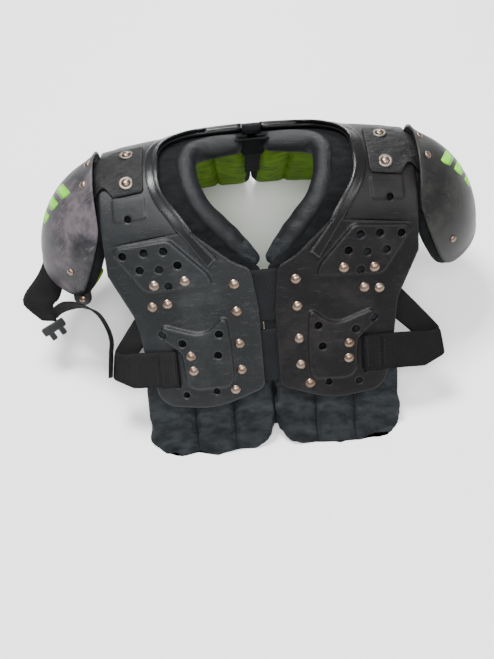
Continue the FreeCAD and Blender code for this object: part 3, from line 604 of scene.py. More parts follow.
def rounded_outline(corners, step=3.0):
    """Closed outline of (x, s) points. corners: (x, s, radius)."""
    found = []
    count = len(corners)
    for i, (x, s, radius) in enumerate(corners):
        here = np.array((x, s), float)
        before = np.array(corners[i - 1][:2], float) - here
        after = np.array(corners[(i + 1) % count][:2], float) - here
        size_b, size_a = np.linalg.norm(before), np.linalg.norm(after)
        before, after = before / size_b, after / size_a
        half = math.acos(max(-1.0, min(1.0, float(before @ after)))) / 2
        reach = min(radius / max(math.tan(half), 1e-6), 0.48 * size_b, 0.48 * size_a)
        if radius <= 0 or reach < 0.2:
            found.append(here)
            continue
        true_radius = reach * math.tan(half)
        middle = (before + after) / np.linalg.norm(before + after)
        centre = here + middle * (true_radius / math.sin(half))
        start, end = here + before * reach - centre, here + after * reach - centre
        turn = math.atan2(start[0] * end[1] - start[1] * end[0], float(start @ end))
        pieces = max(2, int(abs(turn) * true_radius / step) + 1)
        for k in range(pieces + 1):
            a = turn * k / pieces
            c, q = math.cos(a), math.sin(a)
            found.append(centre + np.array((start[0] * c - start[1] * q,
                                            start[0] * q + start[1] * c)))
    dense = []
    for i, point in enumerate(found):
        following = found[(i + 1) % len(found)]
        pieces = max(1, int(np.linalg.norm(following - point) / step))
        dense += [point + (following - point) * k / pieces for k in range(pieces)]
    return np.array(dense)


def filled(outline, cell):
    """Triangles inside an outline: (points, faces)."""
    low, high = outline.min(0), outline.max(0)
    gx, gy = np.meshgrid(np.arange(low[0] + cell / 2, high[0], cell),
                         np.arange(low[1] + cell / 2, high[1], cell))
    grid = np.stack([gx.ravel(), gy.ravel()], -1)
    a, b = outline, np.roll(outline, -1, 0)
    crossing = (a[None, :, 1] > grid[:, None, 1]) != (b[None, :, 1] > grid[:, None, 1])
    rise = np.where(np.abs(b[:, 1] - a[:, 1]) < 1e-9, 1e-9, b[:, 1] - a[:, 1])
    at = a[None, :, 0] + (grid[:, None, 1] - a[None, :, 1]) * ((b - a)[:, 0] / rise)[None]
    inside = (crossing & (grid[:, None, 0] < at)).sum(1) % 2 == 1
    near = np.linalg.norm(grid[:, None] - outline[None], axis=2).min(1) > cell * 0.55
    points = [Vector(p) for p in np.concatenate([outline, grid[inside & near]])]
    made = delaunay_2d_cdt(points, [], [list(range(len(outline)))], 1, 1e-5)
    return np.array([tuple(p) for p in made[0]]), [tuple(f) for f in made[2]]


def strip_corners(half, near, far, radius):
    """Corners of a strip that runs along the middle, half to each side of it."""
    return [(-half, near, radius), (half, near, radius), (half, far, radius),
            (-half, far, radius)]


def slab(name, corners, low, high, cell=4.0, turn=0.0, sink=None):
    """Thin closed sheet that follows the face. turn: direction of the cloth's length."""
    flat, triangles = filled(rounded_outline(corners), cell)
    x, s = flat.T
    depth = 0.0 if sink is None else sink(s)
    outer, inner = place(x, s, high + depth), place(x, s, low + depth)
    triangles = facing(triangles, outer, (outer - inner)[triangles[0][0]])
    c, q = math.cos(turn), math.sin(turn)
    cloth = np.stack([-x * q + s * c, x * c + s * q, 0 * x], -1) * MM
    return mesh_piece(name, np.concatenate([outer, inner]), closed_sheet(triangles, len(flat)),
                      np.concatenate([cloth, cloth]))


def smooth_path(points, step):
    """Points of a smooth curve through the given ones, in equal steps: rows of any width."""
    points = np.asarray(points, float)
    padded = np.concatenate([[2 * points[0] - points[1]], points, [2 * points[-1] - points[-2]]])
    dense = []
    for p0, p1, p2, p3 in zip(padded, padded[1:], padded[2:], padded[3:]):
        for t in np.linspace(0, 1, 24, endpoint=False):
            dense.append(0.5 * (2 * p1 + (p2 - p0) * t + (2 * p0 - 5 * p1 + 4 * p2 - p3) * t ** 2
                                + (3 * p1 - p0 - 3 * p2 + p3) * t ** 3))
    dense = np.array(dense + [points[-1]])
    along = distances(dense[:, :3])
    wanted = np.linspace(0, along[-1], max(2, int(along[-1] / step) + 1))
    return at(wanted, along, dense), wanted


def ribbon(name, stations, width, step=4.0, parts=8):
    """Webbing through (centre, direction across) stations, in millimetres."""
    path, along = smooth_path([(*centre, *across) for centre, across in stations], step)
    centre, across = path[:, None, :3], path[:, None, 3:] * (width / 2)
    proud = unit(np.cross(np.gradient(path[:, :3], axis=0), path[:, 3:]))[:, None] * WEBBING / 2
    shares = np.linspace(-1, 1, parts + 1)
    shares = np.concatenate([shares, shares[::-1]])
    heights = np.where(np.abs(shares) < 1, 1.0, 0.3) * np.repeat((1, -1), parts + 1)
    points = centre + across * shares[:, None] + proud * heights[:, None]
    lay = np.zeros_like(points)
    lay[:, :, 0] = shares * width / 2
    lay[:, :, 1] = along[:, None]
    return mesh_piece(name, points.reshape(-1, 3) * MM, ring_faces(*points.shape[:2]),
                      lay.reshape(-1, 3) * MM)


def tube(path, radii, around=20, ends=5):
    """Stuffed roll along a path in (x, s, d), with rounded ends. radii: one per path point."""
    rows = np.column_stack([place(*path.T) / MM, radii, face_normal(path[:, 0], path[:, 1])])
    line, along = smooth_path(rows, 3.0)
    centre, radius = line[:, :3], line[:, 3]
    tangent = unit(np.gradient(centre, axis=0))
    up = unit(line[:, 4:] - tangent * (line[:, 4:] * tangent).sum(1, keepdims=True))
    side = np.cross(tangent, up)
    angles = np.arange(around) * FULL_TURN / around
    circle = np.cos(angles)[:, None, None] * side + np.sin(angles)[:, None, None] * up
    body = (centre + circle * radius[:, None]).transpose(1, 0, 2)

    def ending(i, way, turns):
        return [(centre[i] + tangent[i] * radius[i] * way * math.cos(a) * 0.8
                 + (body[i] - centre[i]) * math.sin(a), along[i] + way * radius[i] * math.cos(a))
                for a in turns]
    turns = [FULL_TURN / 4 * (k + 1) / (ends + 1) for k in range(ends)]
    rings = ending(0, -1.0, turns) + list(zip(body, along)) + ending(-1, 1.0, turns[::-1])
    lay = np.zeros((len(rings), around, 3))
    lay[:, :, 0] = np.array([far for ring, far in rings])[:, None]
    lay[:, :, 1] = angles * 11.0
    return (np.concatenate([ring for ring, far in rings]),
            flipped(ring_faces(len(rings), around)), lay.reshape(-1, 3), line, up, side)


def lathe(profile, origin, normal, around=24):
    """Turned piece. profile: (radius, height) from the rim to the centre, in millimetres."""
    turn = Vector(normal).normalized().to_track_quat("Z", "Y")
    points = []
    for radius, height in profile:
        for k in range(around):
            a = FULL_TURN * k / around
            local = Vector((radius * math.cos(a), radius * math.sin(a), height)) * MM
            points.append(Vector(origin) + turn @ local)
    return points, ring_faces(len(profile), around, capped=False)


def merged(name, parts):
    """One piece from several (points, faces)."""
    points, faces = [], []
    for some, their in parts:
        start = len(points)
        points += [tuple(p) for p in some]
        faces += [tuple(i + start for i in f) for f in their]
    return mesh_piece(name, points, faces)


def stitches(name, line, normals, length=2.6, gap=1.7, width=0.55, rise=0.35, across=False):
    """Thread stitches along a line of points, in millimetres."""
    along = distances(line)
    points, faces = [], []
    for start in np.arange(gap, along[-1] - length, length + gap):
        ends = [at(start, along, line), at(start + length, along, line)]
        up = unit(at(start + length / 2, along, normals))
        way = unit(ends[1] - ends[0])
        side = np.cross(way, up)
        middle = (ends[0] + ends[1]) / 2
        if across:
            ends = [middle - side * length / 2, middle + side * length / 2]
            side = way
        faces += ring_faces(3, 4, start=len(points))
        for centre, wide, high in ((ends[0], 0.45, 0.1), (middle, 1.0, 1.0), (ends[1], 0.45, 0.1)):
            for c, h in ((-1, -0.3), (-0.7, 1), (0.7, 1), (1, -0.3)):
                points.append(centre + side * c * wide * width / 2 + up * rise * high * h)
    return mesh_piece(name, np.array(points) * MM, faces)


# ---- padding ----

def loosened(mesh, rounds, share=0.5):
    """Rounds off a mesh by moving each point towards its neighbours."""
    points = points_of(mesh)
    ends = np.zeros(len(mesh.edges) * 2, int)
    mesh.edges.foreach_get("vertices", ends)
    a, b = ends.reshape(-1, 2).T
    degree = np.bincount(ends, minlength=len(points)).astype(float)[:, None]
    for i in range(rounds):
        total = np.zeros_like(points)
        np.add.at(total, a, points[b])
        np.add.at(total, b, points[a])
        points += (total / degree - points) * share
    set_points(mesh, points)


def room(lay, inside):
    """Most that padding may swell at each point, in metres: more where no plastic holds it."""
    free = np.clip((np.abs(lay[:, 1]) - 262.0) / 18.0, 0, 1)
    if inside:
        free = np.maximum(free, np.clip((-12.0 - lay[:, 2]) / 4.0, 0, 1))
    return (sizes().tight_swell + (sizes().swell - sizes().tight_swell) * free) * MM


def puffed(piece, pins, pressure, limit):
    """Blows the padding up a little between its pinned seams, with a cloth simulation."""
    scene = bpy.context.scene
    start = points_of(piece.data)
    group = piece.vertex_groups.new(name="seams")
    group.add([int(i) for i in np.nonzero(pins)[0]], 1.0, "REPLACE")
    cloth = piece.modifiers.new("Cloth", "CLOTH")
    cloth.settings.use_pressure = True
    cloth.settings.uniform_pressure_force = pressure
    cloth.settings.vertex_group_mass = "seams"
    cloth.settings.tension_stiffness = 12.0
    cloth.settings.bending_stiffness = 0.4
    cloth.settings.effector_weights.gravity = 0.0
    cloth.point_cache.frame_start = 1
    cloth.point_cache.frame_end = CLOTH_FRAMES
    for number in range(CLOTH_FRAMES):
        scene.frame_set(number + 1)
    graph = bpy.context.evaluated_depsgraph_get()
    swollen = bpy.data.meshes.new_from_object(piece.evaluated_get(graph))
    moved = points_of(swollen) - start
    far = np.linalg.norm(moved, axis=1, keepdims=True)
    moved *= np.minimum(1.0, limit[:, None] / np.maximum(far, 1e-9))
    piece.modifiers.clear()
    bpy.data.meshes.remove(swollen)
    scene.frame_set(1)
    set_points(piece.data, start + moved)


def stuffed(piece, seams, pinned, pressure, inside, wrinkled):
    """Puffs padding up, smooths it, sinks its seams in and wrinkles its cover."""
    lay = lay_of(points_of(piece.data))
    puffed(piece, seams(lay) > pinned, pressure, room(lay, inside))
    mesh = subdivided(piece).data
    points = points_of(mesh)
    lay = lay_of(points)
    sunk = seams(lay) * sizes().channel - wrinkled * ruck(lay) * MM
    points -= normals_of(mesh) * sunk[:, None]
    points[:, 2] = np.maximum(points[:, 2], LEAST)
    set_points(mesh, points)
    give_lay(mesh, lay * MM)
    mesh.polygons.foreach_set("use_smooth", [True] * len(mesh.polygons))
    return piece


def padding_from(node, seams, rounds=8, shrink=1.6, pressure=4.0):
    """Padded piece in the space of a CAD node. seams(lay): how near each point is to a seam."""
    piece = link(node + "_cover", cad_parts[node].data.copy())
    piece.modifiers.new("Weld", "WELD").merge_threshold = 0.00005
    remesh = piece.modifiers.new("Remesh", "REMESH")
    remesh.mode = "VOXEL"
    remesh.voxel_size = sizes().voxel
    mesh = settled(piece).data
    loosened(mesh, rounds)
    set_points(mesh, points_of(mesh) - normals_of(mesh) * shrink * MM)
    return stuffed(piece, seams, 0.55, pressure, False, 0.0)


def ruck(lay):
    """Slanting creases of the loose cover below the shells, in millimetres."""
    x, s = lay[:, 0], np.abs(lay[:, 1])
    slant = x * 0.55 + s * 0.85
    bend = 4.0 * np.sin(x / 17.0) + 3.0 * np.sin(s / 13.0 + 1.3)
    wave = np.sin((slant + bend) / 3.6) + 0.7 * np.sin((x * 0.75 - s * 0.6 + 2 * bend) / 5.2 + 0.8)
    patch = 0.5 + 0.5 * np.sin(x / 21.0 + 0.6) * np.sin(s / 19.0)
    below = np.clip((s - 258.0) / 10.0, 0, 1) * np.clip((lay[:, 2] + 14.0) / 5.0, 0, 1)
    return 1.7 * wave * patch * below


def quilted(name, corners):
    """Filled panel behind a shell, with upright seams and a rounded edge all round."""
    flat, triangles = filled(rounded_outline(corners, PANEL_CELL * 0.8), PANEL_CELL)
    edges = edges_of(triangles)
    rim = {i for a, b in edges if (b, a) not in edges for i in (a, b)}
    away = np.linalg.norm(flat[:, None] - flat[sorted(rim)][None], axis=2).min(1)
    fullness = np.sqrt(1 - (1 - np.clip(away / PANEL_ROUNDING, 0, 1)) ** 2)
    seam = panel_seams(np.column_stack([flat, np.zeros(len(flat))]))
    outer = panel_face(flat)
    middle, half = (outer + PANEL_BACK) / 2, (outer - PANEL_BACK) / 2 * fullness
    high = place(flat[:, 0], flat[:, 1], middle + half * (1 - 0.34 * seam))
    low = place(flat[:, 0], flat[:, 1], middle - half * (1 - 0.2 * seam))
    triangles = facing(triangles, high, face_normal(*flat[triangles[0][0]]))
    free = [i for i in range(len(flat)) if i not in rim]
    twin = {i: len(flat) + k for k, i in enumerate(free)}
    faces = triangles + [tuple(twin.get(i, i) for i in t) for t in flipped(triangles)]
    points = np.concatenate([high, low[free]])
    points[:, 2] = np.maximum(points[:, 2], 1.5 * LEAST)
    piece = stuffed(mesh_piece(name, points, faces), panel_seams, 0.5, 5.0, True, 1.0)
    points = points_of(piece.data)
    sign = 1.0 if sum(corner[0] for corner in corners) > 0 else -1.0
    points[:, 0] = sign * np.maximum(points[:, 0] * sign, LEAST)
    set_points(piece.data, points)
    return piece


def lined(piece, cover, lining, depth, keep=None):
    """Cover outside and lining inside, told apart by depth."""
    mesh = piece.data
    dressed(piece, cover, lining)
    centres = np.zeros(len(mesh.polygons) * 3)
    mesh.polygons.foreach_get("center", centres)
    lay = lay_of(centres.reshape(-1, 3))
    inner = lay[:, 2] < depth
    if keep is not None:
        inner &= keep(lay)
    mesh.polygons.foreach_set("material_index", inner.astype(int))
    mesh.update()


def near_line(values, places, width):
    """1 on a line, falling to 0 away from it."""
    distance = np.min([np.abs(values - p) for p in places], axis=0)
    return np.exp(-(distance / width) ** 2)


def panel_seams(lay):
    """Upright quilting seams of a panel pad, on its faces and not on its edges."""
    lines = near_line(np.abs(lay[:, 0]), PANEL_SEAMS, 1.9)
    return lines * np.clip((312 - np.abs(lay[:, 1])) / 20.0, 0, 1)


def panel_face(flat):
    """Depth of a panel pad's outer face: close behind the shell, proud of it lower down."""
    below = np.clip((np.abs(flat[:, 1]) - 256.0) / 16.0, 0, 1)
    return -6.2 + 5.6 * below * below * (3 - 2 * below)


def shoulder_seams(lay):
    lines = near_line(lay[:, 1], (-50.0, 0.0, 50.0), 2.6)
    return lines * np.clip((138.0 - np.abs(lay[:, 0])) / 6.0, 0, 1) * 0.8


def no_seams(lay):
    return np.zeros(len(lay))


def panel_lining(lay):
    """Where the lining shows: inside the turned edges of a panel pad."""
    x, s = np.abs(lay[:, :2]).T
    return (s < LINING_BOTTOM) & (x > LINING_MIDDLE) & (s > LINING_TOP)


# ---- cap and flap surfaces ----

def shell_height(x, y, d):
    """Height in millimetres of a layer of the shells over (x, y), near the ridge."""
    radius = ARCH_RADIUS + d
    level = ARCH_CENTRE_Z + np.sqrt(np.maximum(radius * radius - y * y, 0)) - AXIS_Z
    return AXIS_Z + np.sqrt(level * level - x * x)


def dome_height(x, y, shrink):
    """Height in millimetres of the top of a cap over (x, y)."""
    a, b, c = CAP_RADII - shrink
    q, s = DROOP_COS, DROOP_SIN
    x = x - CAP_CENTRE[0]
    square = (s / a) ** 2 + (q / c) ** 2
    linear = 2 * x * q * s * (1 / a ** 2 - 1 / c ** 2)
    rest = x * x * ((q / a) ** 2 + (s / c) ** 2) + (y / b) ** 2 - 1
    root = np.sqrt(np.maximum(linear * linear - 4 * square * rest, 0))
    return CAP_CENTRE[2] + (root - linear) / (2 * square)


def grid_slab(name, outer, inner, lay=None):
    """Closed sheet between two grids of points."""
    rows, columns = outer.shape[:2]
    quads = [(a, a + 1, a + columns + 1, a + columns) for i in range(rows - 1)
             for a in range(i * columns, (i + 1) * columns - 1)]
    points = np.concatenate([outer.reshape(-1, 3), inner.reshape(-1, 3)])
    if lay is not None:
        lay = np.concatenate([lay.reshape(-1, 3)] * 2)
    return mesh_piece(name, points, closed_sheet(quads, rows * columns), lay)


def cap_rim(shrink, outward, count=120):
    """Loop round the open edge of a right cap, in millimetres, moved out past the edge."""
    a, b, c = CAP_RADII - shrink
    centre = np.array((195.0, 165.0))
    found = []
    for point in rounded_outline(CAP_OUTLINE, 2.0):
        lower = min(1.0, max(0.0, (206.0 - point[1]) / 34.0))
        x, z = point + (point - centre) / np.linalg.norm(point - centre) * outward * lower
        east, rise = x - CAP_CENTRE[0], z - CAP_CENTRE[2]
        rest = (1 - ((east * DROOP_COS + rise * DROOP_SIN) / a) ** 2
                - ((rise * DROOP_COS - east * DROOP_SIN) / c) ** 2)
        if rest > 0:
            found.append((x, z, b * math.sqrt(rest)))
    found = np.array(found)
    steps = np.linalg.norm(np.diff(found[:, :2], axis=0, append=found[:1, :2]), axis=1)
    x, z, y = np.roll(found, -(np.argmax(steps) + 1), axis=0).T
    loop = np.concatenate([np.stack([x, -y, z], -1), np.stack([x, y, z], -1)[::-1]])
    closed = np.concatenate([loop, loop[:1]])
    along = distances(closed)
    line = at(np.linspace(0, along[-1], count, endpoint=False), along, closed)
    for repeat in range(4):
        line = (np.roll(line, 1, 0) + 2 * line + np.roll(line, -1, 0)) / 4
    return line


def edging(name, sign, line, radii, closed, around=14):
    """Stuffed edge round a loop of a right cap, or along a part of it, in millimetres."""
    tangent = unit(np.roll(line, -1, 0) - np.roll(line, 1, 0) if closed
                   else np.gradient(line, axis=0))
    side = unit(np.cross(tangent, line - line.mean(0) + np.array((0, 0, 0.01))))
    up = np.cross(side, tangent)
    a = np.arange(around)[None, :, None] * FULL_TURN / around
    radii = np.broadcast_to(radii, len(line))[:, None, None]
    points = line[:, None] + (side[:, None] * np.cos(a) + up[:, None] * np.sin(a)) * radii
    lay = np.zeros_like(points)
    lay[..., 0] = distances(line)[:, None]
    lay[..., 1] = (a * radii)[..., 0]
    return mirrored(name, sign, points.reshape(-1, 3),
                    ring_faces(len(line), around, looped=closed), lay.reshape(-1, 3) * MM)


def mirrored(name, sign, points, faces, lay=None):
    """Piece from the right side's points in millimetres, turned over for the left side."""
    return mesh_piece(name, points * (sign, 1.0, 1.0) * MM,
                      faces if sign > 0 else flipped(faces), lay)


def cap_sheet(rings=26):
    """Outer and inner points of a right cap, ring by ring out from its middle to its rim."""
    x, y, z = (cap_rim(0.0, 0.0) - CAP_CENTRE).T
    ends = np.stack([x * DROOP_COS + z * DROOP_SIN, y, z * DROOP_COS - x * DROOP_SIN], -1)
    ends = unit(ends / CAP_RADII)
    middle = unit(ends.mean(0))
    reach = np.arccos(np.clip(ends @ middle, -1, 1))[:, None]
    sheets = []
    for shrink in (0.0, CAP_WALL):
        rows = []
        for share in 0.02 + 0.98 * np.arange(rings + 1) / rings:
            way = np.sin((1 - share) * reach) * middle + np.sin(share * reach) * ends
            way = way / np.sin(reach)
            lip = 0.9 * max(0.0, (share - 0.95) / 0.05)
            height = way[:, 2:3] * CAP_RADII[2]
            raised = 7.0 * np.clip((height - 66) / 24, 0, 1) * max(0.0, (share - 0.55) / 0.45) ** 2
            rows.append(droop(*(way * (CAP_RADII - shrink + lip + raised)).T))
        sheets.append(np.array(rows))
    return sheets


def cap_mesh(name, sign):
    outer, inner = cap_sheet()
    rings = np.concatenate([outer, inner[::-1]])
    return mirrored(name, sign, rings.reshape(-1, 3), flipped(ring_faces(*rings.shape[:2])))


# ---- settings ----

def colour_setting(name, description, default):
    return FloatVectorProperty(name=name, description=description, subtype="COLOR", size=3,
                               min=0, max=1, default=default)


def length_setting(name, description, default, low, high):
    return FloatProperty(name=name, description=description, default=default, min=low, max=high,
                         unit="LENGTH", subtype="DISTANCE")


class PadsColours(bpy.types.PropertyGroup):
    left_shell: colour_setting("Left shell", "Plastic of the left shell and cap",
                               (0.0052, 0.0062, 0.0070))
    right_shell: colour_setting("Right shell", "Plastic of the right shell and cap",
                                (0.0030, 0.0026, 0.0031))
    lime: colour_setting("Lining", "Bright lining and its edge", (0.105, 0.205, 0.010))
    mesh: colour_setting("Mesh cover", "Knitted cover of the pads", (0.0150, 0.0172, 0.0190))
    nylon: colour_setting("Roll cover", "Woven cover of the neck rolls", (0.0036, 0.0042, 0.0056))
    webbing: colour_setting("Webbing", "Belts and straps", (0.0085, 0.0085, 0.0088))
    rivet: colour_setting("Rivets", "Nickel rivet heads with a coppery cast",
                          (0.29, 0.225, 0.180))


class PadsSizes(bpy.types.PropertyGroup):
    voxel: length_setting("Padding grid", "Grid that padding is rebuilt on before it is filled",
                          0.0045, 0.003, 0.01)
    swell: FloatProperty(
        name="Swell", description="Most that padding swells below the shells, in millimetres",
        default=8.0, min=0, max=16)
    tight_swell: FloatProperty(
        name="Swell under plastic", description="Most that padding swells under the shells, in mm",
        default=3.4, min=0, max=6)
    channel: length_setting("Seam depth", "Depth of a sewn channel", 0.0036, 0, 0.006)
    roll_radius: length_setting("Roll radius", "Half the thickness of a neck roll",
                                0.0112, 0.008, 0.0125)


def colours():
    return bpy.context.scene.pads_colours


def sizes():
    return bpy.context.scene.pads_sizes


def kept(make, name, *values, **more):
    """The named material, made at its first use."""
    return bpy.data.materials.get(name) or make(name, *values, **more)


def rivet_metal():
    return kept(metal, "rivet nickel", tuple(colours().rivet), (0.14, 0.085, 0.06), 0.33)


def washer_metal():
    return kept(metal, "washer steel", (0.20, 0.18, 0.155), (0.13, 0.115, 0.095), 0.5)


def pad_mesh():
    # The cover takes the default painted crease shade and highlight.
    return kept(knitted, "pad mesh", tuple(colours().mesh), 2.8, (0.003, 0.0032, 0.0035), 0.85,
                True)


def under_mesh():
    # Black mesh of the edges and centre fabric, also used for the dark sheets that stand in for
    # shade.
    return kept(knitted, "dark mesh", (0.0045, 0.0050, 0.0058), 2.0, (0.001, 0.001, 0.001))


def lime_lining():
    # Lining with a milder painted crease shade and highlight.
    return kept(knitted, "lime lining", tuple(colours().lime), 2.2, (0.04, 0.085, 0.005), 0.4,
                tones=(0.62, 1.3))


def strap_webbing(side):
    return kept(woven, side + " strap webbing", scaled(colours().webbing, STRAP_TONE[side]), 1.9,
                0.8, 0.82, 0.35)


def on_side(corners, sign):
    """Corners of the right side, carried over for the left side."""
    return [(x * sign, s, r) for x, s, r in corners]


def bridged(piece, material, x, s, d):
    """Cloth that spans the two halves: gives it its material and bakes its transform."""
    dressed(piece, material)
    place(-x, s, d)
    place(x, s, d)
    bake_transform(piece)


# ---- operators ----

class PADS_OT_plastic(bpy.types.Operator):
    """Finish of the shells, caps, neck strips, hooks and tongue"""
    bl_idname = "pads.plastic"
    bl_label = "Hard Plastic Parts"

    def execute(self, context):
        for side, sign in SIDES:
            tint = tuple(getattr(colours(), side + "_shell"))
            scuff_and_highlight, (smoke, smoked) = SCUFFS[side], SMOKE[side]
            shell = moulded(side + " shell plastic", tint, 0.42, scuff_and_highlight, 0.55,
                            Specular_IOR_Level=SHELL_GLOSS[side])
            cap = moulded(side + " cap plastic", scaled(tint, 1.4), 0.42, smoke, smoked, 0.62,
                          Specular_IOR_Level=0.25)
            strip = moulded(side + " strip plastic", scaled(tint, 0.6), 0.24, scuff_and_highlight, 0.2,
                            relief=0.1, Specular_IOR_Level=0.45)
            hook = moulded(side + " hook plastic", (0.008, 0.008, 0.009), 0.4, scuff_and_highlight, 0.4, 3.0)
            for node, finish in (("shell", shell), ("neck_strip", strip), ("strap_hook", hook)):
                dressed(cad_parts[f"{side}_{node}"], finish)
            dome = cap_mesh(side + "_cap_dome", sign)
            sewn(dome, side + "_cap", cap, (side + "_cap",))
            self.cap_heads(side, sign, dome)
            near_x, far_x, near = STRIP_END_CORNERS
            for part_name, far, low, high in STRIP_ENDS:
                corners = on_side([(near_x, near, 1.5), (far_x, near, 0), (far_x, far, 0),
                                   (near_x, far, 1.5)], sign)
                end = slab(f"{side}_back_{part_name}", corners, low, high, 3.0)
                sewn(end, side + "_half", strip)
        self.tongue()
        return {"FINISHED"}

    def cap_heads(self, side, sign, dome):
        """Small domed heads where the flap and the lining are riveted to the cap."""
        points, normals = points_of(dome.data), normals_of(dome.data)
        outer = points[:len(points) // 2]
        profile = [(3.9, -0.3), (3.8, 0.35), (3.2, 1.1), (2.2, 1.7), (1.1, 2.0), (0.01, 2.05)]
        heads = []
        for y, angle in CAP_HEADS:
            wanted = dome_point(y, angle) * (sign, 1.0, 1.0)
            nearest = np.argmin(np.linalg.norm(outer - wanted, axis=1))
            heads.append(lathe(profile, points[nearest], normals[nearest]))
        sewn(merged(side + "_cap_rivet_heads", heads), side + "_cap", rivet_metal(),
             (side + "_cap_rivets",))

    def tongue(self):
        """Tab that hangs out of the left cap's lining, with its stud."""
        outline = rounded_outline([(-9.5, 24, 0), (-9.5, -8, 9), (9.5, -8, 9), (9.5, 24, 0)], 2.0)
        flat, triangles = filled(outline, 3.0)
        x, y = flat.T
        outward = unit(np.array([-0.12, -0.78, 0.61]))
        upward = np.array([0.0, 0.61, 0.78])
        upward = unit(upward - outward * (upward @ outward))
        across = np.cross(upward, outward)
        bow = -0.012 * x ** 2 - 0.008 * (y - 6) ** 2
        sheets = [TONGUE_STUD + np.outer(x, across) + np.outer(y, upward)
                  + np.outer(bow - depth, outward) for depth in (0.0, 2.0)]
        faces = closed_sheet(facing(triangles, sheets[0], outward), len(flat))
        tongue = mesh_piece("left_cap_tongue_plate", np.concatenate(sheets) * MM, faces)
        material = moulded("tongue plastic", (0.009, 0.009, 0.010), 0.38, (0.03, 0.03, 0.03),
                           0.5, 2.0)
        sewn(tongue, "left_cap", material, ("left_cap_tongue",))
        stud = lathe([(4.0, 0.0), (3.8, 0.9), (2.6, 1.7), (0.01, 2.0)],
                     TONGUE_STUD * MM - 0.3 * MM * outward, outward, 20)
        sewn(merged("left_tongue_stud", [stud]), "left_cap", rivet_metal())


class PADS_OT_rivets(bpy.types.Operator):
    """Finish of the rivets, and turned washers with their heads on the flaps"""
    bl_idname = "pads.rivets"
    bl_label = "Rivets and Washers"

    def execute(self, context):
        material = rivet_metal()
        disc = [(7.0, 0.0), (7.0, 0.6), (6.6, 1.0), (4.4, 1.0), (4.2, 0.8)]
        head = [(4.2, 0.6), (4.2, 1.2), (3.8, 2.0), (3.0, 2.7), (1.8, 3.15), (0.5, 3.3),
                (0.01, 3.3)]
        for side, sign in SIDES:
            for group in ("inner", "back", "boss", "pair", "belt", "strap"):
                dressed(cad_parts[f"{side}_{group}_rivets"], material)
            places = [(place(WASHER_X * sign, s, WASHER_D), face_normal(WASHER_X * sign, s))
                      for s in WASHER_S]
            washers = merged(side + "_washers", [lathe(disc, *where, 32) for where in places])
            sewn(washers, side + "_half", washer_metal(), (side + "_flap_fasteners",))
            heads = merged(side + "_washer_heads", [lathe(head, *where, 28) for where in places])
            sewn(heads, side + "_half", material)
        return {"FINISHED"}


class PADS_OT_padding(bpy.types.Operator):
    """Chest, back, shoulder and cap padding, filled and quilted"""
    bl_idname = "pads.padding"
    bl_label = "Padding"

    def execute(self, context):
        for side, sign in SIDES:
            for panel, corners in (("front_pad", FRONT_PANEL), ("back_pad", BACK_PANEL)):
                node = f"{side}_{panel}"
                pad = quilted(node + "_cover", on_side(corners, sign))
                lined(pad, pad_mesh(), lime_lining(), PANEL_LINING, panel_lining)
                sewn(pad, side + "_half", None, (node,))
            # Dark sheet under each shell: painted shade, filling the boss holes and the inside of
            # the neck edge where the padding lies in shade.
            under = slab(side + "_under_layer", on_side(UNDER_SHADE_SHEET, sign),
                         *UNDER_SHADE_SHEET_DEPTHS)
            sewn(under, side + "_half", under_mesh())
            node = side + "_shoulder_pad"
            pad = padding_from(node, shoulder_seams)
            lined(pad, pad_mesh(), lime_lining(), SHOULDER_LINING)
            sewn(pad, side + "_half", None, (node,))
            node = side + "_cap_pad"
            pad = padding_from(node, no_seams, 4, 0.8, 2.0)
            sewn(pad, side + "_cap", pad_mesh(), (node,))
            line = cap_rim(*CAP_PAD_EDGE)
            radii = 4.0 + 2.6 * np.clip((206.0 - line[:, 2]) / 40.0, 0, 1)
            edge = edging(side + "_cap_pad_edge", sign, line, radii, True)
            sewn(edge, side + "_cap", under_mesh())
            if side == "right":
                continue
            line = cap_rim(*CAP_LINING_EDGE)
            line = line[(line[:, 1] < -8) & (line[:, 2] < 138)]
            trim = edging(side + "_cap_lining_edge", sign, line, CAP_LINING_EDGE_RADIUS, False)
            sewn(trim, side + "_cap", lime_lining())
        return {"FINISHED"}


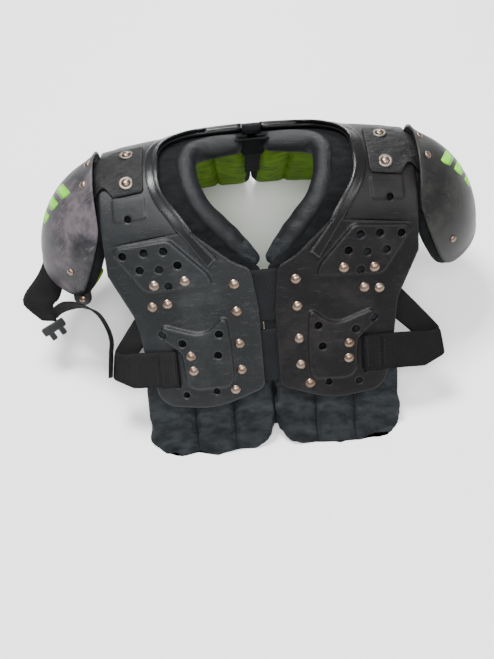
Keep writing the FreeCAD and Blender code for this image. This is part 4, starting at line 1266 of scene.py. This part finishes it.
class PADS_OT_rolls(bpy.types.Operator):
    """Stuffed rolls round the neck opening, with stitched edges"""
    bl_idname = "pads.rolls"
    bl_label = "Neck Rolls"

    def execute(self, context):
        cover = kept(woven, "roll nylon", tuple(colours().nylon), 1.5, 0.35, 0.5, 0.5, 0.25)
        thread = kept(woven, "thread", (0.035, 0.035, 0.038), 0.6, 0.4, 0.7, 0.1)
        for side, sign in SIDES:
            path = np.array([(x * sign, s, ROLL_DEPTH) for x, s in ROLL_PATH])
            radii = np.full(len(path), sizes().roll_radius / MM)
            radii[[0, 1, -1]] *= (0.72, 0.88, 0.9)
            points, faces, lay, line, up, side_way = tube(path, radii)
            roll = mesh_piece(side + "_neck_roll_cover", points * MM,
                              faces if sign > 0 else flipped(faces), lay * MM)
            self.wrinkle(roll)
            subdivided(roll)
            dressed(roll, cover, pad_mesh())
            along = given_lay(roll.data)[:, 0]
            for face in roll.data.polygons:
                face.material_index = int(along[list(face.vertices)].mean() < 0.020)
            sewn(roll, side + "_half", None, (side + "_neck_roll",))
            inward = up * 0.35 - side_way * sign * 0.94
            seam = (line[:, :3] + inward * (line[:, 3:4] * 1.005))[4:-3]
            run = stitches(side + "_roll_stitches", seam, inward[4:-3], 3.4, 2.6, 0.6, 0.3, True)
            sewn(run, side + "_half", thread)
        return {"FINISHED"}

    def wrinkle(self, roll):
        """Small waves in the cover, at the bend and at the shoulder."""
        along, around = (given_lay(roll.data) / MM)[:, :2].T
        waves = (np.sin(along / 3.1 + around / 9.0) * np.exp(-((along - 34) / 16) ** 2)
                 + 0.6 * np.sin(along / 4.3 - around / 7.0) * np.exp(-((along - 120) / 30) ** 2))
        points = points_of(roll.data) + normals_of(roll.data) * (waves * 0.45)[:, None] * MM
        set_points(roll.data, points)


def turned(stations, sign):
    """Stations of the -X side, mirrored for the +X side."""
    return [((x * -sign, y, z), (a * -sign, b, c)) for (x, y, z), (a, b, c) in stations]


class PADS_OT_straps(bpy.types.Operator):
    """Front belts through their slots, under-arm straps and the arm strap"""
    bl_idname = "pads.straps"
    bl_label = "Belts and Straps"

    def execute(self, context):
        down = (0.0, math.sin(TILT), -math.cos(TILT))
        seat = [(tuple(place(-x, STRAP_LEVEL, STRAP_SEAT) / MM), down) for x in STRAP_SEAT_XS]
        for side, sign in SIDES:
            self.front_belt(side, sign)
            stations = turned(seat + list(STRAP_REACH[side]), sign)
            strap = ribbon(side + "_back_strap_webbing", stations, STRAP_WIDTH)
            sewn(strap, side + "_half", strap_webbing(side), (side + "_back_strap",))
        strap = ribbon("left_arm_strap_webbing", turned(ARM_STRAP, -1.0), ARM_STRAP_WIDTH)
        sewn(strap, "left_half", strap_webbing("left"), ("left_arm_strap",))
        return {"FINISHED"}

    def front_belt(self, side, sign):
        reach = BELT_REACH[side]

        def moved(corners):
            return [(x + reach * min(1, max(0, (x - BELT_FIXED) / BELT_EASED)), s, r)
                    for x, s, r in corners]

        tab = ((68, -193, 4), (96.6, -193, 0), (96.6, -231, 0), (68, -231, 4))
        rise = ((94.0, -193.3, 0), (96.4, -193.3, 0), (96.4, -230.7, 0), (94.0, -230.7, 0))
        double = ((94.2, -193.6, 1), (112, -191.6, 1), (112, -228.8, 1), (94.2, -230.4, 1))
        fold = ((163.0 + reach, -182.0, 0), (168.2 + reach, -180.4, 2),
                (173.2 + reach, -206.6, 2), (168.0 + reach, -207.6, 0))
        for name, corners, depths, cell, turn in (
                ("face", moved(BELT_OUTER), BELT_OUTSIDE, 4.0, BELT_SLANT),
                ("leg", moved(BELT_INNER), BELT_INSIDE, 4.0, BELT_LEG_SLANT),
                ("fold", fold, BELT_THROUGH, 3.0, BELT_LEG_SLANT),
                ("tab", tab, BELT_INSIDE, 4.0, BELT_SLANT),
                ("rise", rise, BELT_THROUGH, 3.0, BELT_SLANT),
                ("double", double, BELT_DOUBLED, 3.0, BELT_SLANT)):
            piece = slab(f"{side}_front_belt_{name}", on_side(corners, sign), *depths, cell, turn)
            sewn(piece, side + "_half", strap_webbing(side),
                 (side + "_front_belt",) if name == "face" else ())
        thread = kept(woven, "belt thread", (0.03, 0.03, 0.032), 0.6, 0.4, 0.7, 0.1)
        rows = np.linspace(-194.5, -228.0, 12)
        for x, d in BELT_SEAMS:
            seam = place(x * sign, rows, d) / MM
            run = stitches(f"{side}_belt_stitches_{int(x)}", seam, face_normal(x * sign, rows))
            sewn(run, side + "_half", thread)


class PADS_OT_bands(bpy.types.Operator):
    """Elastic bands across the middle of the chest and back, and the small hook between them"""
    bl_idname = "pads.bands"
    bl_label = "Elastic Bands"

    def execute(self, context):
        elastic = kept(woven, "band elastic", (0.0125, 0.0130, 0.0145), 1.4, 0.7, 0.8, 0.2)
        for way, sign in (("front", -1.0), ("back", 1.0)):
            for level, near, far in BANDS:
                corners = strip_corners(BAND_HALF, near * sign, far * sign, 3)
                band = slab(f"{way}_{level}_band_elastic", corners, *BAND_DEPTHS, 3.0)
                bridged(band, elastic, 8, near * sign, -4)
                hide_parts(f"{way}_{level}_band")
        joint = slab("front_band_link", strip_corners(13, -170, -189, 2), -6.6, -5.05, 3.0)
        bridged(joint, elastic, 8, -180, -6)
        # Dark cloth between the back ends of the rolls that sinks down inside the back: black
        # fabric at the top, and lower down a dark sheet that stands in for the shade seen through
        # the neck opening, painted shade.
        funnel = [(-18, 30, 3), (18, 30, 3), (16, 44, 6), (8, 66, 10), (8, 175, 3), (-8, 175, 3),
                  (-8, 66, 10), (-16, 44, 6)]
        cloth = slab("back_centre_cloth", funnel, -8.6, -7.0, 3.0,
                     sink=lambda s: -19.0 * np.clip((s - 34.0) / 26.0, 0, 1))
        bridged(cloth, under_mesh(), 8, 80, -9)
        # The second sheet, inside the pads behind the gap between the front halves, is a dark sheet
        # for the shade seen in that gap: painted shade.
        for cover, wide, near, far, low in (("back_centre_cover", 7.2, 53, 250, -2.2),
                                            ("front_centre_cloth", 11.0, -128, -292, -13.0)):
            piece = slab(cover, strip_corners(wide, near, far, 3), low, low + 1.6, 3.0)
            bridged(piece, under_mesh(), 7, near, low)
        roll = slab("back_centre_roll", strip_corners(9.3, 38, 65, 4), -4.0, 3.9, 3.0)
        bridged(roll, under_mesh(), 7, 52, 0)
        hook = slab("front_hook", [(-5.4, -175.6, 0.8), (-3.6, -175.6, 0.8), (-3.6, -183.4, 0.8),
                                   (-5.4, -183.4, 0.8)], -4.9, -3.6, 2.0)
        sewn(hook, "left_half", washer_metal())
        return {"FINISHED"}


class PADS_OT_flaps(bpy.types.Operator):
    """Vinyl flaps that hinge the caps: one strip from the shell to under the cap"""
    bl_idname = "pads.flaps"
    bl_label = "Hinge Flaps"

    def execute(self, context):
        vinyl = kept(woven, "flap vinyl", (0.0085, 0.0085, 0.0088), 1.3, 0.25, 0.55, 1.0, 0.2)
        x, share = np.meshgrid(np.linspace(FLAP_NEAR, FLAP_FAR, 47), np.linspace(-1, 1, 33),
                               indexing="ij")
        corner = 1 - np.clip((x - FLAP_NEAR) / 3.0, 0, 1)
        half = (FLAP_HALF - FLAP_NARROWED * np.clip((x - 138) / 5, 0, 1)
                - 5.0 * np.exp(-((x - 148) / 5.0) ** 2) * (share < 0)
                - 3.0 * (1 - np.sqrt(np.clip(1 - corner ** 2, 0, 1))))
        y = share * half
        part = np.clip((x - 150) / 8, 0, 1)
        part = part * part * (3 - 2 * part)
        rolled = np.exp(-((x - 148.5) / 5.5) ** 2) * np.exp(-((y + 24) / 7.0) ** 2)
        heights = [shell_height(x, y, FLAP_ON_SHELL + FLAP_THICKNESS * top) * (1 - part)
                   + dome_height(x, y, FLAP_IN_CAP + FLAP_THICKNESS * (1 - top)) * part
                   + 3.2 * rolled for top in (1.0, 0.0)]
        for side, sign in SIDES:
            grids = [np.stack([x * sign, y, z], -1) * MM for z in heights]
            grids.append(np.stack([y, x, 0 * x], -1) * MM)
            if sign > 0:
                grids = [grid[:, ::-1] for grid in grids]
            flap = grid_slab(side + "_hinge_flap_vinyl", *grids)
            dressed(flap, vinyl)
            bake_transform(flap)
            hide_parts(side + "_hinge_flap", side + "_cap_flap")
        return {"FINISHED"}


class PADS_OT_bars(bpy.types.Operator):
    """Plain slanted bars painted on the caps"""
    bl_idname = "pads.bars"
    bl_label = "Cap Bars"

    def execute(self, context):
        paint = kept(moulded, "bar paint", (0.17, 0.62, 0.006), 0.5, (0.08, 0.26, 0.01), 0.5, 2.5)
        along, wide = np.meshgrid(np.linspace(-1, 1, 17), np.linspace(-1, 1, 5), indexing="ij")
        for side, sign in SIDES:
            for number, level in enumerate(BAR_LEVELS):
                rows = 2.0 + BAR_REACH * along
                squared_ends = np.sqrt(1.02 - np.abs(along) ** 14)
                angle = level - BAR_LEAN * along + wide * BAR_HALF * squared_ends
                sheets = [dome_point(rows, angle, shrink) * (sign, 1.0, 1.0)
                          for shrink in (-0.22, 0.3)]
                if sign < 0:
                    sheets = [sheet[:, ::-1] for sheet in sheets]
                bar = grid_slab(f"{side}_cap_bar_{number + 1}", *sheets)
                sewn(bar, side + "_cap", paint)
        return {"FINISHED"}


class PADS_OT_stage(bpy.types.Operator):
    """Pale floor, soft lights and the camera"""
    bl_idname = "pads.stage"
    bl_label = "Stage"

    def execute(self, context):
        floor = mesh_piece("floor", [(-4, -4, 0), (4, -4, 0), (4, 4, 0), (-4, 4, 0)],
                           [(0, 1, 2, 3)])
        made, web, shader = new_material("floor paint", (0.90, 0.90, 0.90), Roughness=0.9)
        tone = web.noise(web.here(), 3.0, 2.0)
        web.feed(shader["Base Color"], web.mix(tone, (0.90, 0.90, 0.90), (0.93, 0.93, 0.93)))
        dressed(floor, made)
        world = bpy.data.worlds.new("studio")
        bpy.context.scene.world = world
        world.use_nodes = True
        sky = world.node_tree.nodes["Background"].inputs
        sky[0].default_value = (0.95, 0.97, 1.0, 1)
        sky[1].default_value = 0.55
        for name, position, size, power in LAMPS:
            data = bpy.data.lights.new(name, "AREA")
            data.size = size
            data.energy = power
            lamp = link(name, data)
            lamp.location = position
            aim = LAMP_TARGET - Vector(position)
            lamp.rotation_euler = aim.to_track_quat("-Z", "Y").to_euler()
        lens = bpy.data.cameras.new("camera")
        lens.lens = CAMERA_LENS
        lens.sensor_width = CAMERA_SENSOR
        lens.clip_start = 0.02
        camera = link("camera", lens)
        look = Vector((0, math.cos(CAMERA_PITCH), -math.sin(CAMERA_PITCH)))
        right = Vector((1, 0, 0))
        up = right.cross(look)
        x = right * math.cos(CAMERA_ROLL) - up * math.sin(CAMERA_ROLL)
        y = right * math.sin(CAMERA_ROLL) + up * math.cos(CAMERA_ROLL)
        turn = Matrix((x, y, -look)).transposed()
        camera.matrix_world = Matrix.Translation(CAMERA_PLACE) @ turn.to_4x4()
        bpy.context.scene.camera = camera
        return {"FINISHED"}


class PADS_PT_panel(bpy.types.Panel):
    """Buttons that make each group of pieces"""
    bl_idname = "PADS_PT_panel"
    bl_label = "Shoulder Pads"
    bl_space_type = "VIEW_3D"
    bl_region_type = "UI"
    bl_category = "Shoulder Pads"

    def draw(self, context):
        column = self.layout.column()
        for group in (colours(), sizes()):
            for key in group.__annotations__:
                column.prop(group, key)
        for operator in OPERATORS:
            column.operator(operator.bl_idname)


OPERATORS = (PADS_OT_plastic, PADS_OT_rivets, PADS_OT_padding, PADS_OT_rolls, PADS_OT_straps,
             PADS_OT_bands, PADS_OT_flaps, PADS_OT_bars, PADS_OT_stage)
CLASSES = (PadsColours, PadsSizes) + OPERATORS + (PADS_PT_panel,)


def register():
    for made in CLASSES:
        bpy.utils.register_class(made)
    bpy.types.Scene.pads_colours = PointerProperty(type=PadsColours)
    bpy.types.Scene.pads_sizes = PointerProperty(type=PadsSizes)


def unregister():
    del bpy.types.Scene.pads_sizes
    del bpy.types.Scene.pads_colours
    for made in reversed(CLASSES):
        bpy.utils.unregister_class(made)


def main():
    register()
    for operator in OPERATORS:
        group, name = operator.bl_idname.split(".")
        getattr(getattr(bpy.ops, group), name)()


if __name__ == "__main__":
    main()
